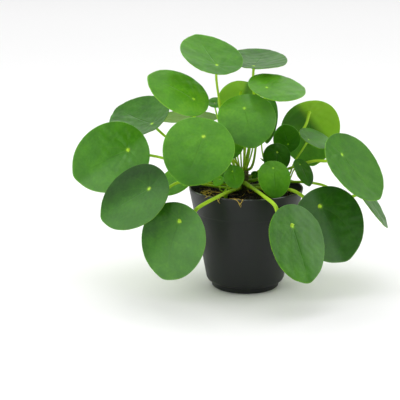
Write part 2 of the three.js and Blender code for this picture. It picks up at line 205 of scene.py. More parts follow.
def makePiece(name, parts, finishes, nodes):
    # One object from its parts: points, faces, a finish for each face and values for each point
    whole = joined(parts)
    faceFinishes = [np.full(len(part[kind]), part["finish"])
                    for kind in ("quads", "triangles") for part in parts]
    corners = np.concatenate([whole["quads"].ravel(), whole["triangles"].ravel()])
    sizes = np.repeat([4, 3], [len(whole["quads"]), len(whole["triangles"])])
    mesh = bpy.data.meshes.new(name)
    mesh.vertices.add(len(whole["points"]))
    mesh.vertices.foreach_set("co", (whole["points"] * mm).ravel())
    mesh.loops.add(len(corners))
    mesh.loops.foreach_set("vertex_index", corners)
    mesh.polygons.add(len(sizes))
    mesh.polygons.foreach_set("loop_start", np.cumsum(sizes) - sizes)
    mesh.polygons.foreach_set("material_index", np.concatenate(faceFinishes))
    mesh.polygons.foreach_set("use_smooth", np.ones(len(sizes), dtype=bool))
    for valueName, value in whole["values"].items():
        mesh.attributes.new(valueName, "FLOAT", "POINT").data.foreach_set("value", value)
    for finish in finishes:
        mesh.materials.append(finish)
    mesh.update(calc_edges=True)
    mesh.validate()
    piece = bpy.data.objects.new(name, mesh)
    bpy.context.scene.collection.objects.link(piece)
    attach(piece, "root")
    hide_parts(*nodes)
    return piece


# Materials

def linear(hexColour):
    # sRGB hex to linear light, with full cover
    shares = [int(hexColour[start:start + 2], 16) / 255 for start in (1, 3, 5)]
    light = [share / 12.92 if share <= 0.04045 else ((share + 0.055) / 1.055) ** 2.4
             for share in shares]
    return (*light, 1.0)


def setStops(elements, stops):
    while len(elements) < len(stops):
        elements.new(0.5)
    for element, (place, colour) in zip(elements, stops):
        element.position = place
        element.color = linear(colour)


def fill(tree, node, settings):
    # A setting names one of the node's properties or sockets. What comes from another node is
    # linked, and a hex colour is turned linear.
    for key, value in settings.items():
        if key == "stops":
            setStops(node.color_ramp.elements, value)
        elif isinstance(value, bpy.types.NodeSocket):
            tree.links.new(value, node.inputs[key])
        elif isinstance(key, str) and hasattr(node, key):
            setattr(node, key, value)
        else:
            node.inputs[key].default_value = linear(value) if isinstance(value, str) else value


def addNode(tree, kind, settings, *values, output=0):
    # One node, with its settings, and values for its sockets in their order. Gives its output.
    node = tree.nodes.new("ShaderNode" + kind)
    fill(tree, node, {**settings, **dict(enumerate(values))})
    return node.outputs[output]


def newMaterial(name):
    material = bpy.data.materials.new(name)
    material.use_nodes = True
    return material, material.node_tree, material.node_tree.nodes["Principled BSDF"]


def patternScale(size):
    # Texture scale for a pattern that is about size millimetres across
    return 1 / (size * mm)


# Settings that many nodes share. A soft range maps its first range to its second with an S curve.
times = {"operation": "MULTIPLY"}
plus = {"operation": "ADD"}
minus = {"operation": "SUBTRACT"}
softRange = {"interpolation_type": "SMOOTHSTEP"}
noiseMiddle = (0.3, 0.7)  # the range that noise mostly keeps to
overRim = (0.4, 0.6)  # where the under value turns from the upper to the lower side

# Living leaf. Its waxy skin gives a soft wide sheen, and light that enters the flesh glows
# yellow-green. Its colour follows the leaf's age, with a pale dot over the petiole, a thin pale
# margin, faint sunken veins, and a paler dull underside. The underside's colour is also brightened
# to paint light coming through the blade, the midrib's crease is painted darker as shade, and
# painted sheen, painted shade and painted shadow lie across some blades. Places on the blade are in
# millimetres from the seat, or shares of the way to the rim.
bladeLook = {
    "ages": [(0.0, "#1b4309"), (0.25, "#2a5f0a"), (0.5, "#427f12"), (0.75, "#5c9e1b"), (1.0, "#80bc26")],
    # The underside's colour is its own paler green, brightened to paint light coming through the blade
    "under": "#a2cc30",
    "underStrength": 0.8,
    # A greyish green painted over parts of some blades as sheen
    "paintedSheenColour": "#9fb59b",
    "roughness": (0.32, 0.55),  # above and below
    "blotch": 14.0,
    "blotchTone": 0.06,
    "speck": 2.6,  # coarser than the real specks, so that they show
    "speckTone": 0.035,
    "speckDepth": 0.035,
    "speckRoughness": (-0.03, 0.05),
    "cell": 4.5,  # coarser than the real cells, so that they show
    "cellSmooth": 0.8,
    "cellDepth": 0.16,
    "vein": "#86b83c",
    "veinStrength": 0.035,
    "veinCount": 9,
    "veinBend": 0.012,
    "veinEdge": (0.15, 0.9),
    "veinStart": (1.0, 4.0),
    "veinEnd": (0.45, 0.95),
    "veinGroove": 0.06,
    # The crease colour paints the shade that lies in the midrib's crease
    "crease": "#1f4a0c",
    "paintedCreaseShade": 0.14,
    "creaseEdge": (0.1, 0.9),
    "creaseStart": (2.5, 7.0),
    "creaseEnd": (0.3, 0.85),
    "creaseDepth": 0.22,
    "margin": "#8cc03a",
    "marginTones": (0.4, 0.75),
    "marginStrength": (0.15, 0.5),
    "marginEdge": (0.97, 0.992),
    "dot": "#b6ea3c",
    "dotShare": 0.0175,  # of the blade's length
    "dotEdge": (0.7, 1.3),  # in dot shares, as the halo's edge is
    "dotTones": (0.0, 0.16),
    "dotStrength": (0.25, 1.0),
    "haloEdge": (0.7, 2.7),
    "haloStrength": 0.28,
}


def bladeMaterial(look):
    material, tree, shader = newMaterial("living leaf, waxy skin")
    own = {name: addNode(tree, "Attribute", {"attribute_name": name}, output="Fac")
           for name in ("flatX", "flatY", "rimShare", "tone", "under", "glow", "bloom", "span")}
    place = addNode(tree, "CombineXYZ", {}, own["flatX"], own["flatY"])
    metres = addNode(tree, "VectorMath", {"operation": "SCALE", "Scale": mm}, place)
    reach = addNode(tree, "VectorMath", {"operation": "LENGTH"}, place, output="Value")
    # Veins run out from the seat and bend towards the tip: straight rays in a plane whose x is
    # drawn back with the square of the distance
    square = addNode(tree, "Math", {"operation": "POWER"}, reach, 2.0)
    back = addNode(tree, "Math", times, square, look["veinBend"])
    drawn = addNode(tree, "Math", minus, own["flatX"], back)
    angle = addNode(tree, "Math", {"operation": "ARCTAN2"}, own["flatY"], drawn)
    turns = addNode(tree, "Math", times, angle, look["veinCount"] / fullTurn)
    offVein = addNode(tree, "Math", {"operation": "PINGPONG"}, turns, 0.5)
    wide = addNode(tree, "Math", times, offVein, fullTurn / look["veinCount"])
    fromVein = addNode(tree, "Math", times, wide, reach)
    vein = addNode(tree, "MapRange", softRange, fromVein, *look["veinEdge"], 1.0, 0.0)
    veinEnd = addNode(tree, "MapRange", softRange, own["rimShare"], *look["veinEnd"], 1.0, 0.0)
    veinStart = addNode(tree, "MapRange", softRange, reach, *look["veinStart"], 0.0, 1.0)
    vein = addNode(tree, "Math", times, addNode(tree, "Math", times, vein, veinEnd), veinStart)
    # The midrib lies in a narrow crease between the seat and the tip, sunk in the bump and painted
    # darker as shade
    offMidrib = addNode(tree, "Math", {"operation": "ABSOLUTE"}, own["flatY"])
    crease = addNode(tree, "MapRange", softRange, offMidrib, *look["creaseEdge"], 1.0, 0.0)
    creaseStart = addNode(tree, "MapRange", softRange, own["flatX"], *look["creaseStart"], 0.0, 1.0)
    creaseEnd = addNode(tree, "MapRange", softRange, own["rimShare"], *look["creaseEnd"], 1.0, 0.0)
    crease = addNode(tree, "Math", times, addNode(tree, "Math", times, crease, creaseStart), creaseEnd)
    # The leaf's age is its tone, a little uneven in blotches and specks
    objectPlace = addNode(tree, "TexCoord", {}, output="Object")
    blotches = addNode(tree, "TexNoise", {"Vector": objectPlace, "Scale": patternScale(look["blotch"]),
                                          "Detail": 3.0}, output="Fac")
    specks = addNode(tree, "TexNoise", {"Vector": metres, "Scale": patternScale(look["speck"]),
                                        "Detail": 3.0}, output="Fac")
    age = own["tone"]
    for pattern, change in ((blotches, look["blotchTone"]), (specks, look["speckTone"])):
        uneven = addNode(tree, "MapRange", softRange, pattern, *noiseMiddle, -change, change)
        age = addNode(tree, "Math", plus, age, uneven)
    # The pale margin is plainest on young leaves
    marginTone = addNode(tree, "MapRange", softRange, own["tone"], *look["marginTones"],
                         *look["marginStrength"])
    marginEdge = addNode(tree, "MapRange", softRange, own["rimShare"], *look["marginEdge"], 0.0, 1.0)
    # The underside is painted paler as light coming through the blade, on top of its own paler
    # colour, as far as its glow value says. Where that value is low it paints the shadow of other leaves.
    below = addNode(tree, "MapRange", softRange, own["under"], *overRim, 0.0, look["underStrength"])
    # The dot and the halo about it grow with the blade
    spread = addNode(tree, "Math", {"operation": "DIVIDE"}, reach, own["span"])
    haloEdge = [look["dotShare"] * edge for edge in look["haloEdge"]]
    dotEdge = [look["dotShare"] * edge for edge in look["dotEdge"]]
    dot = addNode(tree, "MapRange", softRange, spread, *dotEdge, 1.0, 0.0)
    dotTone = addNode(tree, "MapRange", softRange, own["tone"], *look["dotTones"], *look["dotStrength"])
    # Each layer's share and colour. The crease layer is painted shade, the underside layer is partly
    # painted light through the blade, and where painted sheen lies on the skin it looks greyer.
    layers = [
        (addNode(tree, "Math", times, vein, look["veinStrength"]), look["vein"]),
        (addNode(tree, "Math", times, crease, look["paintedCreaseShade"]), look["crease"]),
        (addNode(tree, "Math", times, marginTone, marginEdge), look["margin"]),
        (addNode(tree, "Math", times, below, own["glow"]), look["under"]),
        (own["bloom"], look["paintedSheenColour"]),
        (addNode(tree, "MapRange", softRange, spread, *haloEdge, look["haloStrength"], 0.0), look["dot"]),
        (addNode(tree, "Math", times, dot, dotTone), look["dot"]),
    ]
    colour = addNode(tree, "ValToRGB", {"stops": look["ages"]}, age)
    for share, above in layers:
        colour = addNode(tree, "Mix", {"data_type": "RGBA", 0: share, 6: colour, 7: above}, output=2)
    dull = addNode(tree, "MapRange", softRange, own["under"], *overRim, *look["roughness"])
    grit = addNode(tree, "MapRange", softRange, specks, *noiseMiddle, *look["speckRoughness"])
    # The flesh bulges in cells between finest veins, and veins and crease are sunk
    cells = addNode(tree, "TexVoronoi", {"feature": "SMOOTH_F1", "Vector": metres,
                                         "Smoothness": look["cellSmooth"],
                                         "Scale": patternScale(look["cell"])}, output="Distance")
    groove = addNode(tree, "Math", plus, addNode(tree, "Math", times, vein, look["veinGroove"]), crease)
    skinHeight = addNode(tree, "Math", minus, 1.0, groove)
    normal = addNode(tree, "Bump", {"Height": cells, "Distance": look["cellDepth"] * mm})
    for height, depth in ((specks, look["speckDepth"]), (skinHeight, look["creaseDepth"])):
        normal = addNode(tree, "Bump", {"Height": height, "Distance": depth * mm, "Normal": normal})
    fill(tree, shader, {
        "Base Color": colour,
        "Roughness": addNode(tree, "Math", plus, dull, grit),
        "Normal": normal,
        "IOR": 1.45,
        "Specular IOR Level": 0.26,
        "Subsurface Weight": 0.6,
        "Subsurface Radius": (0.7, 1.3, 0.15),
        "Subsurface Scale": 0.0015,
    })
    return material


# Living stalk, a petiole: smooth and a little translucent, browner near its root and pale at
# the blade
stalkLook = {
    "along": [(0.0, "#74921a"), (0.15, "#94bc22"), (0.55, "#a8d028"), (1.0, "#b0da32")],
    "patch": 3.2,
    "patchChange": 0.1,
    "grain": 0.8,
    "grainDepth": 0.06,
}


def stalkMaterial(look):
    material, tree, shader = newMaterial("living stalk, smooth skin")
    place = addNode(tree, "TexCoord", {}, output="Object")
    patches = addNode(tree, "TexNoise", {"Vector": place, "Scale": patternScale(look["patch"]),
                                         "Detail": 3.0}, output="Fac")
    uneven = addNode(tree, "MapRange", softRange, patches, *noiseMiddle,
                     -look["patchChange"], look["patchChange"])
    along = addNode(tree, "Attribute", {"attribute_name": "along"}, output="Fac")
    grain = addNode(tree, "TexNoise", {"Vector": place, "Scale": patternScale(look["grain"])}, output="Fac")
    fill(tree, shader, {
        "Base Color": addNode(tree, "ValToRGB", {"stops": look["along"]},
                              addNode(tree, "Math", plus, along, uneven)),
        "Normal": addNode(tree, "Bump", {"Height": grain, "Distance": look["grainDepth"] * mm}),
        "IOR": 1.43,
        "Roughness": 0.45,
        "Specular IOR Level": 0.35,
        "Subsurface Weight": 0.3,
        "Subsurface Radius": (0.8, 1.0, 0.3),
        "Subsurface Scale": 0.0015,
    })
    return material


# Corky stem: the trunk's green skin turned to brown cork, with darker rings where leaves fell off
corkLook = {
    "cork": [(0.3, "#3c4216"), (0.5, "#525c22"), (0.7, "#6c6c30")],
    "scar": "#5a4526",
    "patch": 5.0,
    "grain": 0.9,
    "grainDepth": 0.35,
}


def corkMaterial(look):
    material, tree, shader = newMaterial("corky plant stem")
    place = addNode(tree, "TexCoord", {}, output="Object")
    patches = addNode(tree, "TexNoise", {"Vector": place, "Scale": patternScale(look["patch"]),
                                         "Detail": 4.0}, output="Fac")
    grain = addNode(tree, "TexNoise", {"Vector": place, "Scale": patternScale(look["grain"]),
                                       "Detail": 3.0}, output="Fac")
    scar = addNode(tree, "Attribute", {"attribute_name": "scar"}, output="Fac")
    cork = addNode(tree, "ValToRGB", {"stops": look["cork"]}, patches)
    fill(tree, shader, {
        "Base Color": addNode(tree, "Mix", {"data_type": "RGBA", 0: scar, 6: cork, 7: look["scar"]},
                              output=2),
        "Normal": addNode(tree, "Bump", {"Height": grain, "Distance": look["grainDepth"] * mm}),
        "IOR": 1.45,
        "Roughness": 0.75,
    })
    return material


# Polypropylene, injection moulded with a fine matt grain: near black, dusty, with a soft broad
# reflection that turns pale where it is seen edge on
potLook = {
    "plastic": "#101513",
    "dust": "#202724",
    "cloud": 22.0,
    "cloudEdge": (0.45, 0.75),
    "dustStrength": 0.3,
    "roughness": (0.42, 0.56),
    # A painted highlight along the rim's top edge, broken in patches
    "paintedRimHighlight": "#8b918e",
    "rimHighlightHeights": (106.2, 106.9),
    "rimHighlightStrength": 0.7,
    "rimHighlightPatch": 9.0,
    "rimHighlightEdge": (0.42, 0.62),
    "rimHighlightLeast": 0.1,
    "grain": 0.5,  # coarser than the moulded grain, which would be too fine to show
    "grainDepth": 0.05,
}


def potMaterial(look):
    material, tree, shader = newMaterial("polypropylene, matt moulded")
    place = addNode(tree, "TexCoord", {}, output="Object")
    clouds, patches, grain = (
        addNode(tree, "TexNoise", {"Vector": place, "Scale": patternScale(size), "Detail": detail},
                output="Fac")
        for size, detail in ((look["cloud"], 5.0), (look["rimHighlightPatch"], 2.0), (look["grain"], 1.0)))
    dust = addNode(tree, "MapRange", softRange, clouds, *look["cloudEdge"], 0.0, look["dustStrength"])
    # Painted highlight: the rim's top edge is painted pale in places, standing in for light on it
    height = addNode(tree, "SeparateXYZ", {}, place, output=2)
    rim = addNode(tree, "MapRange", softRange, height, look["rimHighlightHeights"][0] * mm,
                  look["rimHighlightHeights"][1] * mm, 0.0, look["rimHighlightStrength"])
    highlightBreaks = addNode(tree, "MapRange", softRange, patches, *look["rimHighlightEdge"], look["rimHighlightLeast"], 1.0)
    colour = look["plastic"]
    for share, above in ((dust, look["dust"]), (addNode(tree, "Math", times, rim, highlightBreaks), look["paintedRimHighlight"])):
        colour = addNode(tree, "Mix", {"data_type": "RGBA", 0: share, 6: colour, 7: above}, output=2)
    fill(tree, shader, {
        "Base Color": colour,
        "Roughness": addNode(tree, "MapRange", softRange, clouds, *noiseMiddle, *look["roughness"]),
        "Normal": addNode(tree, "Bump", {"Height": grain, "Distance": look["grainDepth"] * mm}),
        "IOR": 1.49,
        "Specular IOR Level": 0.4,
    })
    return material


# Damp peat: dark crumbs that take up almost all light, and hardly shine
peatLook = {
    "crumb": [(0.3, "#0e0c07"), (0.5, "#1c170c"), (0.72, "#372d17")],
    "crumbSize": 2.2,
    "grain": 2.2 / 3,  # a third of a crumb
    "grainDepth": 0.7,
}


def peatMaterial(look):
    material, tree, shader = newMaterial("damp peat")
    place = addNode(tree, "TexCoord", {}, output="Object")
    crumbs, grain = (
        addNode(tree, "TexNoise", {"Vector": place, "Scale": patternScale(size), "Detail": detail},
                output="Fac")
        for size, detail in ((look["crumbSize"], 5.0), (look["grain"], 4.0)))
    fill(tree, shader, {
        "Base Color": addNode(tree, "ValToRGB", {"stops": look["crumb"]}, crumbs),
        "Normal": addNode(tree, "Bump", {"Height": grain, "Distance": look["grainDepth"] * mm}),
        "IOR": 1.4,
        "Roughness": 0.88,
    })
    return material


# Dry root fibre: thin straw-brown strands, each with its own shade
fibreLook = {
    "shades": [(0.0, "#57441a"), (0.5, "#a8862a"), (1.0, "#e0c24e")],
}


def fibreMaterial(look):
    material, tree, shader = newMaterial("dry root fibre")
    shade = addNode(tree, "Attribute", {"attribute_name": "shade"}, output="Fac")
    fill(tree, shader, {
        "Base Color": addNode(tree, "ValToRGB", {"stops": look["shades"]}, shade),
        "IOR": 1.5,
        "Roughness": 0.7,
    })
    return material


livingLeaf = bladeMaterial(bladeLook)
livingStalk = stalkMaterial(stalkLook)
corkyStem = corkMaterial(corkLook)
mattPlastic = potMaterial(potLook)
dampPeat = peatMaterial(peatLook)
dryFibre = fibreMaterial(fibreLook)
print("materials made")


# Pot. Its outline runs from the middle of the base, up the outside, over the rim and down inside.
potShape = {
    "height": 107.0,
    "rimRadius": 60.0,
    "rimRound": 0.4,
    "rimDepth": 3.0,
    "rimEdge": 1.0,
    "lip": 2.0,
    "wall": 1.4,
    "heelRadius": 41.3,
    "heelHeight": 10.0,
    "heelFloor": 1.0,  # how much higher the heel is inside
    "insideStep": (3.4, 8.9),  # inside the heel's radius, and its height
    "stepHeight": 7.4,
    "footRadius": 34.5,
    "footBevel": 1.0,
    "footFlare": 1.6,
    "footHeight": 6.0,
    "floor": 1.6,
    "bandHeight": 82.0,
    "bandStep": 0.5,
    "bandSlope": 1.0,
    "sides": 224,
    "drains": 8,
    "drainRadius": 3.0,
    "drainCircle": 26.0,
    "drainSides": 24,
    "drainPast": 1.0,  # how far the cutter goes past both faces of the floor
    "cornerReach": 0.7,
    "sharpAngle": 50.0,
}


def potRadius(height):
    # Outside radius: straight from the heel to the rim
    pot = potShape
    share = (height - pot["heelHeight"]) / (pot["height"] - pot["heelHeight"])
    return pot["heelRadius"] + share * (pot["rimRadius"] - pot["heelRadius"])


def potProfile(pot):
    foot = pot["footRadius"]
    heel = pot["heelRadius"]
    top = pot["height"]
    band = potRadius(pot["bandHeight"])
    inset, insetHeight = pot["insideStep"]
    insideTop = top - pot["rimDepth"]
    edge = top - pot["rimEdge"]
    insideHeel = pot["heelHeight"] + pot["heelFloor"]
    return [
        (0, 0),
        (foot, 0),
        (foot + pot["footBevel"], pot["footBevel"]),
        (foot + pot["footFlare"], pot["footHeight"]),
        (heel - pot["footFlare"], pot["stepHeight"]),
        (heel, pot["heelHeight"]),
        (band - pot["bandStep"], pot["bandHeight"]),
        (band, pot["bandHeight"] + pot["bandSlope"]),
        (potRadius(edge), edge),
        (pot["rimRadius"] - pot["rimRound"], top),
        (pot["rimRadius"] - pot["lip"], top),
        (potRadius(insideTop) - pot["wall"], insideTop),
        (potRadius(insideHeel) - pot["wall"], insideHeel),
        (heel - inset, insetHeight),
        (foot, pot["stepHeight"]),
        (foot - pot["footBevel"], pot["floor"]),
        (0, pot["floor"]),
    ]


def drainCutter(pot):
    # One mesh of the round drain holes, which go through the floor in a circle
    low = -pot["drainPast"]
    high = pot["floor"] + pot["drainPast"]
    radius = pot["drainRadius"]
    pin = lathe([(0, low), (radius, low), (radius, high), (0, high)], pot["drainSides"])
    turns = (np.arange(pot["drains"]) + 0.5) / pot["drains"] * 360
    places = [heading(turn) * pot["drainCircle"] for turn in turns]
    whole = joined([{**pin, "points": pin["points"] + place} for place in places])
    mesh = bpy.data.meshes.new("drainCutter")
    mesh.from_pydata(whole["points"] * mm, [], whole["quads"].tolist() + whole["triangles"].tolist())
    cutter = bpy.data.objects.new("drainCutter", mesh)
    bpy.context.scene.collection.objects.link(cutter)
    return cutter


def makePot(pot):
    profile = rounded(potProfile(pot), pot["cornerReach"])
    piece = makePiece("nurseryPot", [lathe(profile, pot["sides"])], [mattPlastic], ["pot"])
    cutter = drainCutter(pot)
    cut = piece.modifiers.new("drains", "BOOLEAN")
    cut.operation = "DIFFERENCE"
    cut.solver = "EXACT"
    cut.object = cutter
    made = piece.evaluated_get(bpy.context.evaluated_depsgraph_get())
    whole = piece.data
    piece.data = bpy.data.meshes.new_from_object(made)
    piece.modifiers.clear()
    bpy.data.meshes.remove(whole)
    bpy.data.objects.remove(cutter)
    piece.data.name = "nurseryPot"
    piece.data.set_sharp_from_angle(angle=math.radians(pot["sharpAngle"]))


makePot(potShape)
print("pot made")


# Soil: a body of peat, with crumbs and dry fibres on its lumpy top. Insets are distances inside
# the pot's outer face.
soilShape = {
    "edgeHeight": 99.0,
    "middleHeight": 103.0,
    "sink": 0.8,
    "slopePower": 1.6,
    "sideInset": 1.9,
    "floorHeight": 1.9,
    "foot": [(1.6, 1.9), (0.8, 7.8)],  # inset from the foot's radius, and height
    "heel": (4.0, 9.4),
    "sideRows": 14,
    "sideGap": 2.0,  # from the sides' rows to the heel and to the edge
    "sides": 180,
    "topRings": 60,
    "lastRing": 0.01,  # share of the edge's radius
    "lumps": (19.0, 13.0, 9.0, 7.0, 5.0, 4.0),
    "lumpHeight": 0.9,
    "crumbs": 1500,
    "crumbInset": 2.6,
    "crumbSpread": (0.01, 1),  # squares of their shares of the radius, which spreads them evenly
    "crumbSizes": (0.5, 2.3),
    "crumbPower": 3,  # most crumbs are small
    "crumbLift": (-0.2, 0.6),
    "crumbPress": (0.6, 1.2),
    "crumbUneven": (0.75, 1.15),
    "crumbRings": 3,
    "crumbSides": 6,
    "fibreInset": 4.0,
    "fibreShares": (-0.5, -0.15, 0.2, 0.5),
    "fibreBend": 90,
    "fibreLift": 0.2,
    "fibres": [
        {"count": 55, "middle": (0, 0), "reach": 50, "lengths": (6, 18), "lift": 1.4,
         "shades": (0.0, 0.6), "radii": (0.12, 0.3)},
        {"count": 22, "middle": (-39, -7), "reach": 10, "lengths": (4, 11), "lift": 3.5,
         "shades": (0.6, 1.0), "radii": (0.25, 0.45)},
        {"count": 7, "middle": (-26, -16), "reach": 9, "lengths": (4, 9), "lift": 2.5,
         "shades": (0.4, 0.9), "radii": (0.2, 0.4)},
        {"count": 4, "middle": (3, -12), "reach": 3, "lengths": (4, 9), "lift": 3.0,
         "shades": (0.5, 0.9), "radii": (0.2, 0.35)},
    ],
    "rimShades": (0.65, 1),
    "seed": 11,
}


def soilTop(x, y):
    # Height of the soil: from the middle height down to the edge height, plus waves
    soil = soilShape
    share = np.clip(np.hypot(x, y) / potRadius(soil["edgeHeight"]), 0, 1)
    drop = (soil["middleHeight"] - soil["edgeHeight"]) * share ** soil["slopePower"]
    lumps = waves(np.stack([x, y], axis=-1), soil["lumps"], soil["seed"])
    return soil["middleHeight"] - drop - soil["sink"] + soil["lumpHeight"] * lumps


def soilBody(soil):
    # Rings up the inside of the pot, then inwards over the top
    outline = [(potShape["footRadius"] - inset, height) for inset, height in soil["foot"]]
    outline.append((potShape["heelRadius"] - soil["heel"][0], soil["heel"][1]))
    heights = np.linspace(potShape["heelHeight"] + soil["sideGap"],
                          soil["edgeHeight"] - soil["sideGap"], soil["sideRows"])
    outline += [(potRadius(height) - soil["sideInset"], height) for height in heights]
    edge = potRadius(soil["edgeHeight"]) - soil["sideInset"]
    rings = np.linspace(1, soil["lastRing"], soil["topRings"]) * edge
    radii = np.concatenate([[radius for radius, height in outline], rings])
    angle = np.arange(soil["sides"]) * fullTurn / soil["sides"]
    x = radii[:, None] * np.cos(angle)
    y = radii[:, None] * np.sin(angle)
    z = soilTop(x, y)
    z[:len(outline)] = np.array([height for radius, height in outline])[:, None]
    top = (0, 0, soil["middleHeight"] - soil["sink"])
    return skin(np.stack([x, y, z], axis=-1), (0, 0, soil["floorHeight"]), top, {})


def crumb(middle, size, draw):
    # A small lump: rings on a ball, pressed by random factors along three axes
    soil = soilShape
    rows = np.linspace(0, math.pi, soil["crumbRings"] + 2)[1:-1]
    angle = np.arange(soil["crumbSides"]) * fullTurn / soil["crumbSides"]
    ball = np.stack([
        np.sin(rows)[:, None] * np.cos(angle),
        np.sin(rows)[:, None] * np.sin(angle),
        np.repeat(np.cos(rows)[:, None], soil["crumbSides"], axis=1),
    ], axis=-1)
    press = size * draw.uniform(*soil["crumbPress"], 3)
    ball = ball * draw.uniform(*soil["crumbUneven"], ball.shape[:2])[..., None] * press
    ends = np.array([0, 0, press[2]])
    return skin(ball + middle, middle + ends, middle - ends, {})


def curveThrough(points, steps):
    # Catmull-Rom curve with spacing by the root of each chord, passing all its points. Each
    # segment is a cubic from its two ends and the slopes there, and a mirrored point stands
    # beyond each end of the curve.
    points = np.asarray(points, dtype=float)
    ends = np.concatenate([[2 * points[0] - points[1]], points, [2 * points[-1] - points[-2]]])
    share = np.arange(steps)[:, None] / steps
    made = []
    for before, start, end, after in zip(ends[:-3], ends[1:-2], ends[2:-1], ends[3:]):
        first, middle, last = (max(math.sqrt(np.linalg.norm(gap)), 1e-3)
                               for gap in (start - before, end - start, after - end))
        leave = ((start - before) / first - (end - before) / (first + middle)
                 + (end - start) / middle) * middle
        arrive = ((end - start) / middle - (after - start) / (middle + last)
                  + (after - end) / last) * middle
        cubic = (2 * (start - end) + leave + arrive) * share ** 3
        square = (3 * (end - start) - 2 * leave - arrive) * share ** 2
        made.append(cubic + square + leave * share + start)
    return np.concatenate(made + [points[-1:]])


strandShape = {
    "end": 0.35,  # share of the radius
    "fullness": 0.6,
    "steps": 4,
    "sides": 4,
    "rimSteps": 7,
    "rimSides": 6,
}


def strand(points, radius, shade, steps, sides):
    # A fibre along a smooth curve through its points, thin at both ends
    end = strandShape["end"]
    path = curveThrough(points, steps)
    share = np.linspace(0, 1, len(path))
    radii = radius * (end + (1 - end) * np.sin(share * math.pi) ** strandShape["fullness"])
    return sweep(path, radii, sides, {"shade": np.full(len(path), shade)})


def surfaceFibre(patch, soil, draw):
    # A fibre that lies on the soil: a bent line of points just over it
    edge = potRadius(soil["edgeHeight"]) - soil["fibreInset"]
    middle = np.array([*patch["middle"], 0.0])
    middle = middle + heading(draw.uniform(0, 360)) * patch["reach"] * math.sqrt(draw.uniform(0, 1))
    direction = draw.uniform(0, 360)
    length = draw.uniform(*patch["lengths"])
    line = []
    for share in soil["fibreShares"]:
        bend = heading(direction + share * draw.uniform(-soil["fibreBend"], soil["fibreBend"]))
        place = middle + bend * length * share
        place = place * min(1, edge / max(np.linalg.norm(place), 1))
        place[2] = soilTop(place[0], place[1]) + soil["fibreLift"] + draw.uniform(0, patch["lift"])
        line.append(place)
    return strand(line, draw.uniform(*patch["radii"]), draw.uniform(*patch["shades"]),
                  strandShape["steps"], strandShape["sides"])


# Fine roots that have grown over the rim in front. Each is a line of points: the angle about the
# pot, how far inside the wall's outer face, and the height over the rim.
rimRoots = [
    {"line": [(-107, 5, -2), (-104, 1, 0.7), (-100, -0.6, -1.5), (-98, -0.7, -7)], "radius": 0.34},
    {"line": [(-95, 4, -1), (-95.3, -0.2, 0.7), (-96.5, -0.8, -2.5), (-99, -1, -5)], "radius": 0.3},
    {"line": [(-109, 1, 0.5), (-103, 0.6, 0.8), (-98, 0.2, 0.6), (-94, -0.6, -1)], "radius": 0.22},
    {"line": [(-99.5, -0.6, -2), (-98.4, -0.8, -3.5), (-97, -1, -5), (-97.2, -1.4, -8)], "radius": 0.2},
    {"line": [(-123, 4, -1), (-121.5, 0.4, 0.6), (-120, -0.7, -2.5), (-118, -0.9, -5.5)], "radius": 0.28},
    {"line": [(-119, 3, -1), (-118.6, 0.2, 0.5), (-119, -0.7, -2), (-120.5, -0.8, -3.5)], "radius": 0.22},
    {"line": [(-140, 6, -1), (-138, 1, 0.6), (-135, 0.4, 0.7), (-133, -0.6, -1.5)], "radius": 0.24},
    {"line": [(-131, 6, -1), (-132, 1, 0.5), (-134, -0.6, -1), (-136, -0.7, -2.5)], "radius": 0.2},
]


def rimFibre(root, draw):
    line = []
    for angle, inside, height in root["line"]:
        height = potShape["height"] + height
        place = heading(angle) * (potRadius(height) - inside)
        place[2] = height
        line.append(place)
    return strand(line, root["radius"], draw.uniform(*soilShape["rimShades"]),
                  strandShape["rimSteps"], strandShape["rimSides"])


def makeSoil(soil):
    draw = np.random.default_rng(soil["seed"])
    crumbs = []
    reach = potRadius(soil["edgeHeight"]) - soil["crumbInset"]
    for index in range(soil["crumbs"]):
        middle = heading(draw.uniform(0, 360)) * reach * math.sqrt(draw.uniform(*soil["crumbSpread"]))
        share = draw.uniform(0, 1) ** soil["crumbPower"]
        size = soil["crumbSizes"][0] + np.ptp(soil["crumbSizes"]) * share
        middle[2] = soilTop(middle[0], middle[1]) + size * draw.uniform(*soil["crumbLift"])
        crumbs.append(crumb(middle, size, draw))
    fibres = [surfaceFibre(patch, soil, draw)
              for patch in soil["fibres"] for index in range(patch["count"])]
    fibres += [rimFibre(root, draw) for root in rimRoots]
    parts = [soilBody(soil), joined(crumbs), joined(fibres, 1)]
    makePiece("pottingSoil", parts, [dampPeat, dryFibre], ["soil"])


makeSoil(soilShape)
print("soil made")


